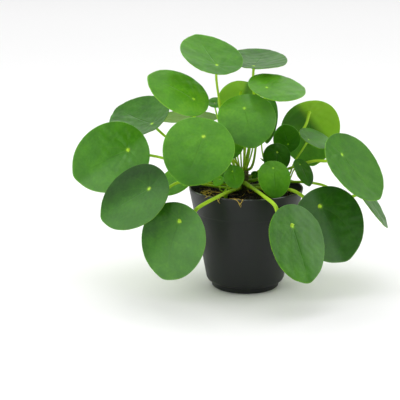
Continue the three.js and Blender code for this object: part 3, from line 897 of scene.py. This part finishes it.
# Trunk: scar rings, slightly uneven all round, with a heart of small young leaves on its top.
# Each young leaf has the place where its stalk ends, its length and the way it faces.
trunkShape = {
    "place": (-4.0, 0.0),
    "radius": 6.5,
    "foot": 84.0,
    "top": 126.0,
    "dome": 4.0,
    "peak": 0.5,  # how far the round top's middle stands over top, and its last row
    "lastRow": 0.4,
    "scarStart": 102.8,
    "scarFoot": 101.0,  # no scars below
    "scarPitch": 4.0,
    "scarWidth": 0.55,
    "scarHeight": 0.5,
    "scarTilt": 0.5,
    "scarColour": 0.8,
    "sides": 64,
    "rows": 120,
    "uneven": 0.35,
    "unevenLengths": (3.0, 4.0, 6.0, 9.0),
    "unevenRadius": 7.0,
    "seed": 5,
    "heart": [
        {"end": (-15.0, -2.5, 156), "length": 10, "facing": -70},
        {"end": (-11.5, 5.0, 160), "length": 12, "facing": -150},
        {"end": (-6.4, -1.5, 158), "length": 9, "facing": -20},
        {"end": (0.0, 4.5, 161), "length": 11, "facing": 160},
        {"end": (5.0, -3.0, 157), "length": 10, "facing": 60},
        {"end": (9.6, 8.5, 160), "length": 12, "facing": 110},
    ],
    "heartBlade": {"rise": 42, "turn": 0, "seatShare": 0.3, "cup": 0.03, "fold": 0.3, "tone": 0.75},
    "heartWidth": 0.8,  # of the length
    "heartStalk": 0.85,
    "heartDepth": 4.0,
    "heartStart": (0.25, 0.25, 0),  # shares of the way from the trunk to a stalk's end
    "heartBend": (0.62, 0.62, 0.5),
    "heartAlong": (0.4, 1.0),
    "heartSteps": 10,
    "heartSides": 12,
    "heartSeed": 420,
}


def heartParts(trunk):
    # Steep thin stalks from the trunk's top, each with a small blade that is still half folded
    parts = []
    middle = np.array([*trunk["place"], trunk["top"] - trunk["heartDepth"]])
    for index, leaf in enumerate(trunk["heart"]):
        end = np.array(leaf["end"], dtype=float)
        start = middle + (end - middle) * np.array(trunk["heartStart"])
        bend = start + (end - start) * np.array(trunk["heartBend"])
        stalk = curveThrough([start, bend, end], trunk["heartSteps"])
        along = np.linspace(*trunk["heartAlong"], len(stalk))
        even = np.full(len(stalk), trunk["heartStalk"])
        parts.append(sweep(stalk, even, trunk["heartSides"], {"along": along}, 1))
        blade = {**trunk["heartBlade"], "seat": leaf["end"], "facing": leaf["facing"],
                 "length": leaf["length"], "width": leaf["length"] * trunk["heartWidth"]}
        parts.append(bladePart(blade, trunk["heartSeed"] + index, 2))
    return parts


def makeTrunk(trunk):
    # Radius at a height: the plain radius, rings of bell shape at each scar, waves, and a round top
    peak = trunk["top"] + trunk["peak"]
    height = np.linspace(trunk["foot"], trunk["top"] + trunk["lastRow"], trunk["rows"])[:, None]
    angle = (np.arange(trunk["sides"]) * fullTurn / trunk["sides"])[None, :]
    tilt = trunk["scarTilt"] * np.sin(angle * 2)
    fromScar = (height + tilt - trunk["scarStart"]) / trunk["scarPitch"]
    fromScar = (fromScar - np.round(fromScar)) * trunk["scarPitch"]
    scar = np.exp(-(fromScar / trunk["scarWidth"]) ** 2) * (height > trunk["scarFoot"])
    dome = np.sqrt(np.minimum((peak - height) / trunk["dome"], 1))
    x, y, z = np.broadcast_arrays(np.cos(angle), np.sin(angle), height)
    around = np.stack([x * trunk["unevenRadius"], y * trunk["unevenRadius"], z], axis=-1)
    uneven = trunk["uneven"] * waves(around, trunk["unevenLengths"], trunk["seed"])
    radius = (trunk["radius"] + trunk["scarHeight"] * scar + uneven) * dome
    place = np.array([*trunk["place"], 0.0])
    grid = np.stack([radius * x, radius * y, z], axis=-1) + place
    ends = np.array([[0, 0, trunk["foot"]], [0, 0, peak]]) + place
    scarValue = np.append((scar * trunk["scarColour"]).ravel(), [0, 0])
    parts = [skin(grid, ends[0], ends[1], {"scar": scarValue}), *heartParts(trunk)]
    makePiece("trunk", parts, [corkyStem, livingStalk, livingLeaf], ["main_stem"])


# Leaves. seat is where the petiole meets the blade. facing is the way the upper side looks, seen
# from above: 0 to the front, 90 to the right. rise is how steeply it looks up. turn swings the tip
# round from the steepest way down. seatShare is how far the seat lies from the blade's rear edge,
# as a share of its length. cup is how far the rim drops as a share of the length, and fold how far
# both halves rise from the midrib. petiole is its thickness, root its angle about the stem and its
# height there, way the points that it passes, and lean how far its end bends towards the last of
# them. tone is the leaf's colour, 0 for an old dark leaf and 1 for a young bright one. The tone that
# is added towards the tip is painted light and shade, for sheen and shading that change from seat to
# tip. shade, the sheen step and the glow step are soft steps across the blade, all painted: shade
# paints shade and light on its tone, the sheen step mixes in a painted greyish sheen, and the glow
# step scales the painted light through the underside, its low side painting the shadow that other
# leaves cast. plainLeaf has what a leaf's own entry doesn't say.
plainLeaf = {
    "seatShare": 0.28, "cup": 0.03, "fold": 0.05, "way": [], "lean": 0.8, "paintedTipShading": 0,
    "shade": (0, 0, 1, 0, 0), "bloom": (0, 0, 1, 0, 0), "glow": (0, 0, 1, 1, 1),
}

trunkLeaves = {
    "top_left": {
        "seat": (-31, 5, 233.7), "facing": 27, "rise": 64, "turn": -179, "length": 70, "width": 66,
        "seatShare": 0.27, "cup": -0.03, "petiole": 2.8, "root": (150, 124), "tone": 0.54, "paintedTipShading": 0.12,
    },
    "top_rear": {
        "seat": (8, 27, 230), "facing": 36, "rise": 82, "turn": 127, "length": 67, "width": 62,
        "seatShare": 0.23, "cup": -0.045, "petiole": 2.8, "root": (75, 125),
        "way": [(6, 12, 165), (8, 17, 198)], "tone": 0.35,
    },
    "upper_right": {
        "seat": (20, -5, 212), "facing": 22, "rise": 67, "turn": 92, "length": 62, "width": 55,
        "seatShare": 0.3, "petiole": 2.8, "root": (-8, 124), "way": [(13, 5, 180)], "tone": 0.63,
    },
    "upper_left": {
        "seat": (-55, -10, 201), "facing": 40, "rise": 46, "turn": -139, "length": 68, "width": 60,
        "seatShare": 0.26, "cup": 0.04, "fold": 0.03, "petiole": 3, "root": (194, 124), "tone": 0.77,
        "paintedTipShading": -0.12,
    },
    "middle_rear": {
        "seat": (-5, 30, 202), "facing": 185, "rise": 22, "turn": 12, "length": 50, "width": 45,
        "cup": 0.05, "petiole": 2.6, "root": (116, 123), "way": [(-19, 22, 190)], "tone": 0.9,
        # Painted shadow of the leaf above on its right part, with less painted light through it there
        "shade": (87, -3, 3, -0.4, 0), "bloom": (0, 0, 1, 0.1, 0.1), "glow": (87, -3, 3, 0.2, 1),
    },
    "middle": {
        "seat": (-3, -14, 192), "facing": -5, "rise": 49, "turn": 14, "length": 66, "width": 59,
        "seatShare": 0.29, "cup": 0.04, "fold": 0.03, "petiole": 3, "root": (-82, 124), "tone": 0.73,
        "paintedTipShading": -0.28, "bloom": (125, 8, 9, 0, 0.12),
    },
    "front_large": {
        "seat": (-45, -58, 171), "facing": 7, "rise": 45, "turn": -23, "length": 79, "width": 70,
        "seatShare": 0.29, "fold": 0.03, "petiole": 3.4, "root": (-112, 112), "way": [(-9, -18, 134)],
        "tone": 0.67, "paintedTipShading": -0.23,
    },
    "left_rear": {
        "seat": (-99, 25, 169), "facing": -50, "rise": 58, "turn": -92, "length": 71, "width": 67,
        "seatShare": 0.21, "cup": -0.06, "petiole": 3, "root": (168, 114.5), "way": [(-59, 15, 139)],
        "lean": 3, "tone": 0.36,
    },
    "left_back": {
        "seat": (-56, 75, 168), "facing": 180, "rise": 66, "turn": 90, "length": 70, "width": 56,
        "seatShare": 0.4, "cup": 0.02, "fold": 0.03, "petiole": 3, "root": (140, 109.5), "tone": 0.4,
        "glow": (0, 0, 1, 0.5, 0.5),
    },
    "far_left": {
        "seat": (-123, -5, 147), "facing": -5, "rise": 18, "turn": -64, "length": 84, "width": 72,
        "seatShare": 0.26, "petiole": 3.4, "root": (178, 111), "way": [(-87, -3, 138)], "tone": 0.58,
        "shade": (99, 0, 5, -0.05, 0.01), "bloom": (99, 0, 5, 0, 0.11),
    },
    "low_left": {
        "seat": (-99, -58, 118), "facing": -32, "rise": 38, "turn": -50, "length": 79, "width": 71,
        "seatShare": 0.27, "cup": 0.02, "petiole": 3.4, "root": (-150, 106.5),
        "way": [(-22, -15, 109), (-70, -34, 119)], "tone": 0.36, "shade": (82, -5, 17, -0.3, 0.04),
        "bloom": (90, 0, 12, 0, 0.09),
    },
    "over_left_rim": {
        "seat": (-69, -14, 122), "facing": -20, "rise": 56, "turn": -20, "length": 38, "width": 34,
        "cup": 0.04, "fold": 0.04, "petiole": 2.6, "root": (-176, 108), "way": [(-55, -6, 114)],
        "tone": 0.75,
    },
    "hanging_left": {
        "seat": (-69, -68, 87), "facing": -22, "rise": 7, "turn": -16, "length": 81, "width": 69,
        "seatShare": 0.23, "fold": 0.1, "petiole": 4.4, "root": (-112, 107),
        "way": [(-28, -53.5, 110), (-49, -64, 101)], "tone": 0.47, "shade": (62, -5, 18, -0.2, 0.03),
        "bloom": (62, 6, 14, 0, 0.12),
    },
    "hanging_front": {
        "seat": (42, -90, 88), "facing": 38, "rise": 24, "turn": 3, "length": 78, "width": 68, "cup": 0.01,
        "petiole": 4.4, "root": (-68, 112), "way": [(15.5, -57.5, 110.5), (25.5, -77.7, 105.7)], "lean": 3,
        "tone": 0.41, "paintedTipShading": 0.1, "bloom": (96, 4, 9, 0, 0.12),
    },
    "hanging_right": {
        "seat": (73, -50, 98), "facing": 8, "rise": 13, "turn": 27, "length": 80, "width": 71,
        "seatShare": 0.23, "fold": 0.08, "petiole": 4.2, "root": (-30, 107),
        "way": [(15, -15, 108.5), (47, -37, 111)], "tone": 0.15, "paintedTipShading": 0.07,
        "shade": (-96, 0, 6, -0.02, 0.08), "bloom": (-96, 0, 6, 0, 0.15),
    },
    "far_right_low": {
        "seat": (125, 15, 97), "facing": 76, "rise": 42, "turn": 0, "length": 60, "width": 50,
        "seatShare": 0.25, "fold": 0.08, "petiole": 3.4, "root": (10, 107),
        "way": [(47, 8, 110), (81, 11, 106)], "tone": 0.38,
    },
    "right_outer": {
        "seat": (97, -20, 145), "facing": 51, "rise": 35, "turn": 12, "length": 80, "width": 81,
        "cup": -0.04, "petiole": 3.6, "root": (-10, 113),
        "way": [(30, 9, 119), (50, 8, 126), (70, 0, 134)], "tone": 0.5,
    },
    "right_rear": {
        "seat": (70, 58, 176), "facing": -171, "rise": 23, "turn": -8, "length": 76, "width": 66,
        "seatShare": 0.2, "cup": 0.07, "fold": 0.04, "petiole": 3.2, "root": (28, 115),
        # Painted shadow of other leaves on its left and lower part, and painted light through the rest
        "way": [(56, 42, 152)], "lean": 2, "tone": 0.42, "paintedTipShading": 0.14, "glow": (-123, -4, 6, 0.05, 1),
    },
    "back_left_low": {
        "seat": (-20, 92, 90), "facing": 190, "rise": 14, "turn": 8, "length": 70, "width": 60,
        "seatShare": 0.27, "fold": 0.06, "petiole": 3.8, "root": (108, 107), "way": [(-14, 58.5, 111.5)],
        "tone": 0.4,
    },
    "back_right_low": {
        "seat": (34, 84, 86), "facing": 160, "rise": 12, "turn": -10, "length": 68, "width": 58,
        "seatShare": 0.27, "fold": 0.06, "petiole": 3.8, "root": (62, 107), "way": [(22, 56, 111.5)],
        "tone": 0.35,
    },
    "back_left_high": {
        "seat": (-18, 74, 143), "facing": 195, "rise": 62, "turn": 10, "length": 60, "width": 54,
        "fold": 0.04, "petiole": 3.2, "root": (100, 113), "tone": 0.55,
    },
    "back_right_high": {
        "seat": (56, 84, 143), "facing": 155, "rise": 60, "turn": -8, "length": 60, "width": 53,
        "fold": 0.04, "petiole": 3.2, "root": (56, 111), "tone": 0.5,
    },
}

youngLeaves = {
    "young_high": {
        "seat": (-33, 40, 189), "facing": 0, "rise": 60, "turn": 112, "length": 20, "width": 17,
        "seatShare": 0.36, "petiole": 1.8, "root": (134, 113), "tone": 0.6,
    },
    "young_low": {
        "seat": (-19, -8, 166), "facing": 0, "rise": 22, "turn": 8, "length": 38, "width": 32,
        "petiole": 2, "root": (-135, 123), "tone": 0.6,
    },
}

shoots = {
    "right_offset": {
        "foot": (36, -6), "radius": 3.2, "top": 116,
        "leaves": {
            "front": {
                "seat": (26, -34, 134), "facing": 13, "rise": 34, "turn": -2, "length": 39, "width": 34,
                "seatShare": 0.21, "cup": 0.05, "fold": 0.1, "petiole": 2.2, "root": (-130, 110),
                "tone": 0.74, "paintedTipShading": -0.2,
            },
            "upper": {
                "seat": (32, -1, 144), "facing": 6, "rise": 22, "turn": -5, "length": 31, "width": 29,
                "seatShare": 0.3, "cup": 0.05, "fold": 0.04, "petiole": 2, "root": (80, 113), "tone": 0.3,
            },
            "rear": {
                "seat": (45, 22, 148), "facing": -12, "rise": 25, "turn": -160, "length": 32, "width": 29,
                "seatShare": 0.3, "cup": 0.04, "fold": 0.04, "petiole": 2, "root": (60, 111),
                "way": [(39, 5, 130)], "tone": 0.5,
            },
            "outer": {
                "seat": (65, 5, 156), "facing": 54, "rise": 60, "turn": 80, "length": 40, "width": 36,
                "seatShare": 0.2, "cup": 0, "fold": 0.06, "petiole": 2.2, "root": (20, 114),
                "way": [(51, 4, 133)], "tone": 0.45,
            },
            "side": {
                "seat": (55, -12, 133), "facing": 50, "rise": 39, "turn": -1, "length": 31, "width": 27,
                "seatShare": 0.22, "cup": 0.04, "fold": 0.1, "petiole": 1.8, "root": (-20, 111),
                "tone": 0.33,
            },
            "hidden": {
                "seat": (25, 24, 184), "facing": 28, "rise": 5, "turn": -3, "length": 50, "width": 21,
                "seatShare": 0.3, "cup": 0.04, "fold": 0.04, "petiole": 2, "root": (160, 112),
                "way": [(20, 8, 131), (17, 24, 147)], "tone": 0.5,
            },
        },
    },
    "left_offset": {
        "foot": (-22, -24), "radius": 2.2, "top": 109,
        "leaves": {
            "front": {
                "seat": (-15, -32, 130.5), "facing": -25, "rise": 30, "turn": 25, "length": 24,
                "width": 22, "seatShare": 0.24, "cup": 0.05, "fold": 0.06, "petiole": 1.8,
                "root": (-60, 106), "tone": 0.62,
            },
            "rear": {
                "seat": (-20, -9, 128), "facing": -20, "rise": 30, "turn": -20, "length": 22, "width": 19,
                "cup": 0.04, "fold": 0.06, "petiole": 1.6, "root": (70, 107), "tone": 0.5,
            },
            "small": {
                "seat": (-28, -27, 121), "facing": -10, "rise": 45, "turn": -30, "length": 13, "width": 11,
                "seatShare": 0.3, "cup": 0.04, "petiole": 1.4, "root": (200, 106), "tone": 0.75,
            },
        },
    },
}

# tipRise, midribShare, swell and wave are shares of the blade's length, and tipSpread is in
# radians
bladeShape = {
    "thickness": 0.8,
    "egg": 0.08,
    "tipRise": 0.02,
    "tipSpread": 0.22,
    "rings": (26, 16),  # of a large blade and of a small one
    "sides": (112, 72),
    "smallLength": 45.0,
    "rimTurns": (30, 60, 90),
    "dimple": 0.45,
    "dimpleRadius": 2.4,
    "midribShare": 1 / 16,
    "swell": 0.008,
    "swellPower": 0.7,
    "swellMiddle": 0.6,
    "ripples": (19.0, 14.0, 11.0, 8.0, 6.5),
    "rippleHeight": 0.2,
    "wave": 0.0045,
    "waveOrders": (2, 3, 5),
    "waveShares": (0.4, 1),
}

petioleShape = {
    "sink": 3.0,  # inside the stem's face
    "leave": (2.0, 4.0),  # out from the face, and along the way
    "approach": 18.0,  # from the last bend to the seat, or this share of a short blade's length
    "approachShare": 0.3,
    "endDepth": 0.2,  # share of the blade's thickness
    "sides": 14,
    "steps": 9,
    "rootFlare": (0.2, 7.0),  # share and reach
    "seatFlare": (0.3, 2.5),
    "waist": 0.18,
}


def bladeDirections(leaf):
    # Unit vectors towards the tip, to the side and out of the upper face
    facing, rise, turn = (math.radians(leaf[key]) for key in ("facing", "rise", "turn"))
    normal = np.array([math.sin(facing) * math.cos(rise), -math.cos(facing) * math.cos(rise),
                       math.sin(rise)])
    down = np.array([math.sin(facing) * math.sin(rise), -math.cos(facing) * math.sin(rise),
                     -math.cos(rise)])
    tip = down * math.cos(turn) + np.cross(normal, down) * math.sin(turn)
    return tip, np.cross(normal, tip), normal


def rimPoint(leaf, angle):
    # An egg shape about the seat: an ellipse whose width shrinks towards the tip by the egg
    # share, with a small bell-shaped point at angle 0
    shape = bladeShape
    fromTip = np.minimum(angle, fullTurn - angle) / shape["tipSpread"]
    point = shape["tipRise"] * leaf["length"] * np.exp(-fromTip ** 2)
    x = (0.5 - leaf["seatShare"]) * leaf["length"] + leaf["length"] / 2 * np.cos(angle) + point
    y = leaf["width"] / 2 * np.sin(angle) * (1 - shape["egg"] * np.cos(angle))
    return x, y


def bladeHeight(leaf, x, y, rimShare, seed):
    # A shallow dome with both halves lifted off the midrib, a dimple at the seat, the flesh
    # between the veins swollen a little, small ripples, and a slow wave that grows towards the rim
    shape = bladeShape
    length = leaf["length"]
    soft = length * shape["midribShare"]
    radius = np.hypot(x, y)
    dome = leaf["cup"] * length * (x ** 2 + y ** 2) / (length / 2) ** 2
    fold = leaf["fold"] * (np.sqrt(y ** 2 + soft ** 2) - soft)
    dimple = shape["dimple"] * np.exp(-(radius / shape["dimpleRadius"]) ** 2)
    angle = np.arctan2(y, x - bladeLook["veinBend"] * radius ** 2)
    between = np.abs(np.sin(angle * bladeLook["veinCount"] / 2)) - shape["swellMiddle"]
    swell = shape["swell"] * length * between * rimShare * (1 - rimShare) ** shape["swellPower"]
    ripple = shape["rippleHeight"] * waves(np.stack([x, y], axis=-1), shape["ripples"], seed)
    draw = np.random.default_rng(seed)
    orders = shape["waveOrders"]
    starts = draw.uniform(0, fullTurn, len(orders))
    shares = draw.uniform(*shape["waveShares"], len(orders))
    slow = sum(share * np.sin(order * np.arctan2(y, x) + start)
               for order, share, start in zip(orders, shares, starts))
    return fold - dome - dimple + swell + ripple + shape["wave"] * length * slow * rimShare ** 2


def stepOver(leaf, kind, x, y):
    # A value that rises over a blade in a soft step across a line: from low to high, between
    # middle - reach and middle + reach along the direction at an angle from the tip. These steps lay
    # painted shade, painted sheen and painted light through the blade.
    angle, middle, reach, low, high = leaf[kind]
    across = x * math.cos(math.radians(angle)) + y * math.sin(math.radians(angle))
    return low + (high - low) * smoothStep(middle - reach, middle + reach, across)


def bladePart(ownLeaf, seed, finish=0):
    # Rings about the seat run out over the upper face, round the rim and back under the blade.
    # The rim is a half circle as wide as the blade is thick.
    leaf = {**plainLeaf, **ownLeaf}
    shape = bladeShape
    small = leaf["length"] < shape["smallLength"]
    rings = shape["rings"][small]
    sides = shape["sides"][small]
    half = shape["thickness"] / 2
    rimX, rimY = rimPoint(leaf, np.arange(sides) * fullTurn / sides)
    inner = 1 - half / np.hypot(rimX, rimY)
    out = np.linspace(0, 1, rings + 1)[1:, None] * inner
    turns = np.radians(shape["rimTurns"])[:, None]
    edge = inner + (1 - inner) * np.sin(turns)
    share = np.concatenate([out, edge, edge[-2::-1], out[::-1]])
    above = np.concatenate([np.ones((rings, 1)), np.cos(turns)])
    level = np.concatenate([above, -above[-2::-1]])
    x = share * rimX
    y = share * rimY
    height = bladeHeight(leaf, x, y, share, seed) + level * half
    tip, side, normal = bladeDirections(leaf)
    seat = np.array(leaf["seat"], dtype=float)
    grid = seat + x[..., None] * tip + y[..., None] * side + height[..., None] * normal
    middle = bladeHeight(leaf, np.zeros(1), np.zeros(1), np.zeros(1), seed)[0]
    # The tone carries painted light and shade, towards the tip and in a step across the blade
    towardsTip = smoothStep(0, (1 - leaf["seatShare"]) * leaf["length"], x)
    tone = leaf["tone"] + leaf["paintedTipShading"] * towardsTip + stepOver(leaf, "shade", x, y)
    overGrid = {  # over the grid, and at its two poles
        "flatX": (x, [0, 0]),
        "flatY": (y, [0, 0]),
        "rimShare": (share, [0, 0]),
        "under": (np.repeat((1 - level) / 2, sides), [0, 1]),
        "tone": (tone, [leaf["tone"]] * 2),
        # Painted light through the underside, painting shadow where it is low, and painted sheen
        "glow": (stepOver(leaf, "glow", x, y), [1, 1]),
        "bloom": (stepOver(leaf, "bloom", x, y), [0, 0]),
        "span": (np.full(x.size, leaf["length"]), [leaf["length"]] * 2),
    }
    values = {name: np.append(over, poles) for name, (over, poles) in overGrid.items()}
    return skin(grid, seat + normal * (middle + half), seat + normal * (middle - half), values, finish)


def petiolePart(ownLeaf, foot, stemRadius, finish=0):
    # A tube from inside the stem to the blade's underside, swollen at both ends and slim between
    leaf = {**plainLeaf, **ownLeaf}
    shape = petioleShape
    seat = np.array(leaf["seat"], dtype=float)
    rootAngle, rootHeight = leaf["root"]
    root = np.array([*foot, rootHeight], dtype=float)
    way = [np.array(point, dtype=float) for point in leaf["way"]]
    normal = bladeDirections(leaf)[2]
    inward = unit(unit((way[-1] if way else root) - seat) * leaf["lean"] - normal)
    turnPoint = seat + inward * min(shape["approach"], leaf["length"] * shape["approachShare"])
    out = heading(rootAngle)
    steep = unit((way[0] if way else seat) - root)
    start = root + out * (stemRadius - shape["sink"])
    leave = root + out * (stemRadius + shape["leave"][0]) + steep * shape["leave"][1]
    end = seat - normal * bladeShape["thickness"] * shape["endDepth"]
    path = curveThrough([start, leave, *way, turnPoint, end], shape["steps"])
    travelled = np.concatenate([[0], np.cumsum(np.linalg.norm(np.diff(path, axis=0), axis=1))])
    whole = travelled[-1]
    thickness = 1 - shape["waist"] * np.sin(travelled / whole * math.pi)
    for swelling, fromEnd in (("rootFlare", travelled), ("seatFlare", whole - travelled)):
        flare, reach = shape[swelling]
        thickness = thickness + flare * np.exp(-(fromEnd / reach) ** 2)
    radii = leaf["petiole"] / 2 * thickness
    return sweep(path, radii, shape["sides"], {"along": travelled / whole}, finish)


# The first seed of each kind of leaf
leafSeeds = {"trunk": 100, "young": 200, "shoots": 300, "shootStep": 20, "leaflet": 390}


def makeLeaves():
    stem = (trunkShape["place"], trunkShape["radius"])
    for index, (name, leaf) in enumerate(trunkLeaves.items()):
        blade = bladePart(leaf, leafSeeds["trunk"] + index)
        makePiece(name + "Blade", [blade], [livingLeaf], [name + "_blade"])
        stalk = petiolePart(leaf, *stem)
        makePiece(name + "Petiole", [stalk], [livingStalk], [name + "_petiole"])
    for index, (name, leaf) in enumerate(youngLeaves.items()):
        parts = [bladePart(leaf, leafSeeds["young"] + index), petiolePart(leaf, *stem, 1)]
        makePiece(name + "Leaf", parts, [livingLeaf, livingStalk], [name + "_leaf"])


stemShape = {
    "foot": 88.0,
    "rows": 26,
    "sides": 24,
    "dome": 2.5,
    "peak": 0.5,  # how far its round top's middle stands over top, and its last row
    "lastRow": 0.4,
    "ring": 0.06,
    "ringPitch": 3.2,
    "along": 0.35,  # its top has the colour that a petiole has this far along
}


def shootStem(shoot):
    # A round stem from under the soil to its top, where it narrows, with faint rings
    stem = stemShape
    height = np.linspace(stem["foot"], shoot["top"] + stem["lastRow"], stem["rows"])
    dome = np.sqrt(np.minimum((shoot["top"] + stem["peak"] - height) / stem["dome"], 1))
    rings = 1 + stem["ring"] * np.sin(height / stem["ringPitch"] * fullTurn)
    radii = shoot["radius"] * rings * dome
    path = np.stack(np.broadcast_arrays(*map(float, shoot["foot"]), height), axis=-1)
    along = (height - stem["foot"]) / (shoot["top"] - stem["foot"]) * stem["along"]
    return sweep(path, radii, stem["sides"], {"along": along})


# Young growth on the right offset, too small to be a piece of its own: a pointed bud beside one
# petiole, and a leaflet on a thin stalk near the foot
smallGrowth = {
    "bud": [(19.2, 9.5, 132.2), (17.4, 8.6, 133.6), (14.2, 7.0, 136.6)],
    "budRadius": 1.0,
    "budPower": 0.55,  # below 1 its widest place is nearer the foot
    "budEnd": 0.06,
    "budSteps": 6,
    "budSides": 12,
    "budAlong": 0.4,
    "stalk": [(35.0, -5.0, 101.5), (24.0, 4.0, 110.0), (13.5, 6.5, 117.5), (9.5, 6.0, 119.0)],
    "stalkRadius": 0.55,
    "stalkSteps": 8,
    "stalkSides": 10,
    "stalkAlong": (0.1, 0.6),
    "leaflet": {
        "seat": (9.5, 6, 119.3), "facing": -8, "rise": 35, "turn": -20, "length": 9, "width": 8,
        "seatShare": 0.35, "cup": 0.05, "fold": 0.06, "tone": 0.45,
    },
}


def smallParts(growth):
    # The bud is a short thick strand, fattest near its foot, and the leaflet a blade on a strand
    # of even width
    bud = curveThrough(growth["bud"], growth["budSteps"])
    share = np.linspace(0, 1, len(bud))
    bulge = np.sin(math.pi * share ** growth["budPower"])
    fat = growth["budRadius"] * np.clip(bulge, growth["budEnd"], 1)
    stalk = curveThrough(growth["stalk"], growth["stalkSteps"])
    even = np.full(len(stalk), growth["stalkRadius"])
    budAlong = np.full(len(bud), growth["budAlong"])
    stalkAlong = np.linspace(*growth["stalkAlong"], len(stalk))
    return [
        sweep(bud, fat, growth["budSides"], {"along": budAlong}),
        sweep(stalk, even, growth["stalkSides"], {"along": stalkAlong}),
        bladePart(growth["leaflet"], leafSeeds["leaflet"], 1),
    ]


def makeShoots():
    for order, (shootName, shoot) in enumerate(shoots.items()):
        firstSeed = leafSeeds["shoots"] + order * leafSeeds["shootStep"]
        parts = [shootStem(shoot)]
        finishes = [livingStalk]
        if shootName == "right_offset":
            parts += smallParts(smallGrowth)
            finishes.append(livingLeaf)
        for index, (name, leaf) in enumerate(shoot["leaves"].items()):
            makePiece(shootName + name.capitalize() + "Blade", [bladePart(leaf, firstSeed + index)],
                      [livingLeaf], [shootName + "_" + name + "_blade"])
            parts.append(petiolePart(leaf, shoot["foot"], shoot["radius"]))
        makePiece(shootName + "Stem", parts, finishes, [shootName + "_stem"])


makeTrunk(trunkShape)
makeLeaves()
makeShoots()
print("trunk and leaves made")


# Pale floor and soft studio light. The surround is bright, and dark towards the dark side.
studio = {
    "floorSize": 14.0,
    "floor": "#fafafa",
    "darkSide": (0.0, -0.94, 0.34),
    "darkEdge": (0.2, 0.9),
    "surround": (0.42, 0.02),
    "lamps": {
        "ceilingPanel": {"place": (0.0, 2.2, 3.0), "aim": (0.0, 2.2, 0.0), "size": 10.0, "power": 290.0},
        "leftWindow": {"place": (-1.15, -0.95, 0.28), "aim": (0.0, 0.0, 0.12), "size": 1.6, "power": 15.0},
        "rightSoftbox": {"place": (1.42, -0.12, 0.5), "aim": (0.0, 0.0, 0.12), "size": 0.8, "power": 4.0},
        "topSoftbox": {"place": (-0.1, -0.27, 1.55), "aim": (0.0, 0.0, 0.12), "size": 0.7, "power": 1.5},
        "backSoftbox": {"place": (-0.35, 0.75, 1.3), "aim": (0.0, 0.0, 0.15), "size": 0.35, "power": 2.0},
    },
}


def addFloor(setting):
    half = setting["floorSize"] / 2
    mesh = bpy.data.meshes.new("studioFloor")
    mesh.from_pydata([(-half, -half, 0), (half, -half, 0), (half, half, 0), (-half, half, 0)], [],
                     [(0, 1, 2, 3)])
    floor = bpy.data.objects.new("studioFloor", mesh)
    bpy.context.scene.collection.objects.link(floor)
    material, tree, shader = newMaterial("matt white paint")
    fill(tree, shader, {"Base Color": setting["floor"], "Roughness": 0.9})
    mesh.materials.append(material)


def addSurround(setting):
    world = bpy.data.worlds.new("studio")
    world.use_nodes = True
    tree = world.node_tree
    direction = addNode(tree, "TexCoord", {}, output="Generated")
    towards = addNode(tree, "VectorMath", {"operation": "DOT_PRODUCT"}, direction, setting["darkSide"],
                      output="Value")
    strength = addNode(tree, "MapRange", softRange, towards, *setting["darkEdge"], *setting["surround"])
    fill(tree, tree.nodes["Background"], {"Color": (1, 1, 1, 1), "Strength": strength})
    bpy.context.scene.world = world


def addLamp(name, lamp):
    # A square lamp that looks from its place to its aim
    light = bpy.data.lights.new(name, "AREA")
    light.size = lamp["size"]
    light.energy = lamp["power"]
    holder = bpy.data.objects.new(name, light)
    holder.location = lamp["place"]
    towards = unit(np.array(lamp["aim"]) - np.array(lamp["place"]))
    holder.rotation_euler = (math.acos(-towards[2]), 0, math.atan2(towards[0], -towards[1]) + math.pi)
    bpy.context.scene.collection.objects.link(holder)


addFloor(studio)
addSurround(studio)
for lampName, lampSetting in studio["lamps"].items():
    addLamp(lampName, lampSetting)
print("studio lit")
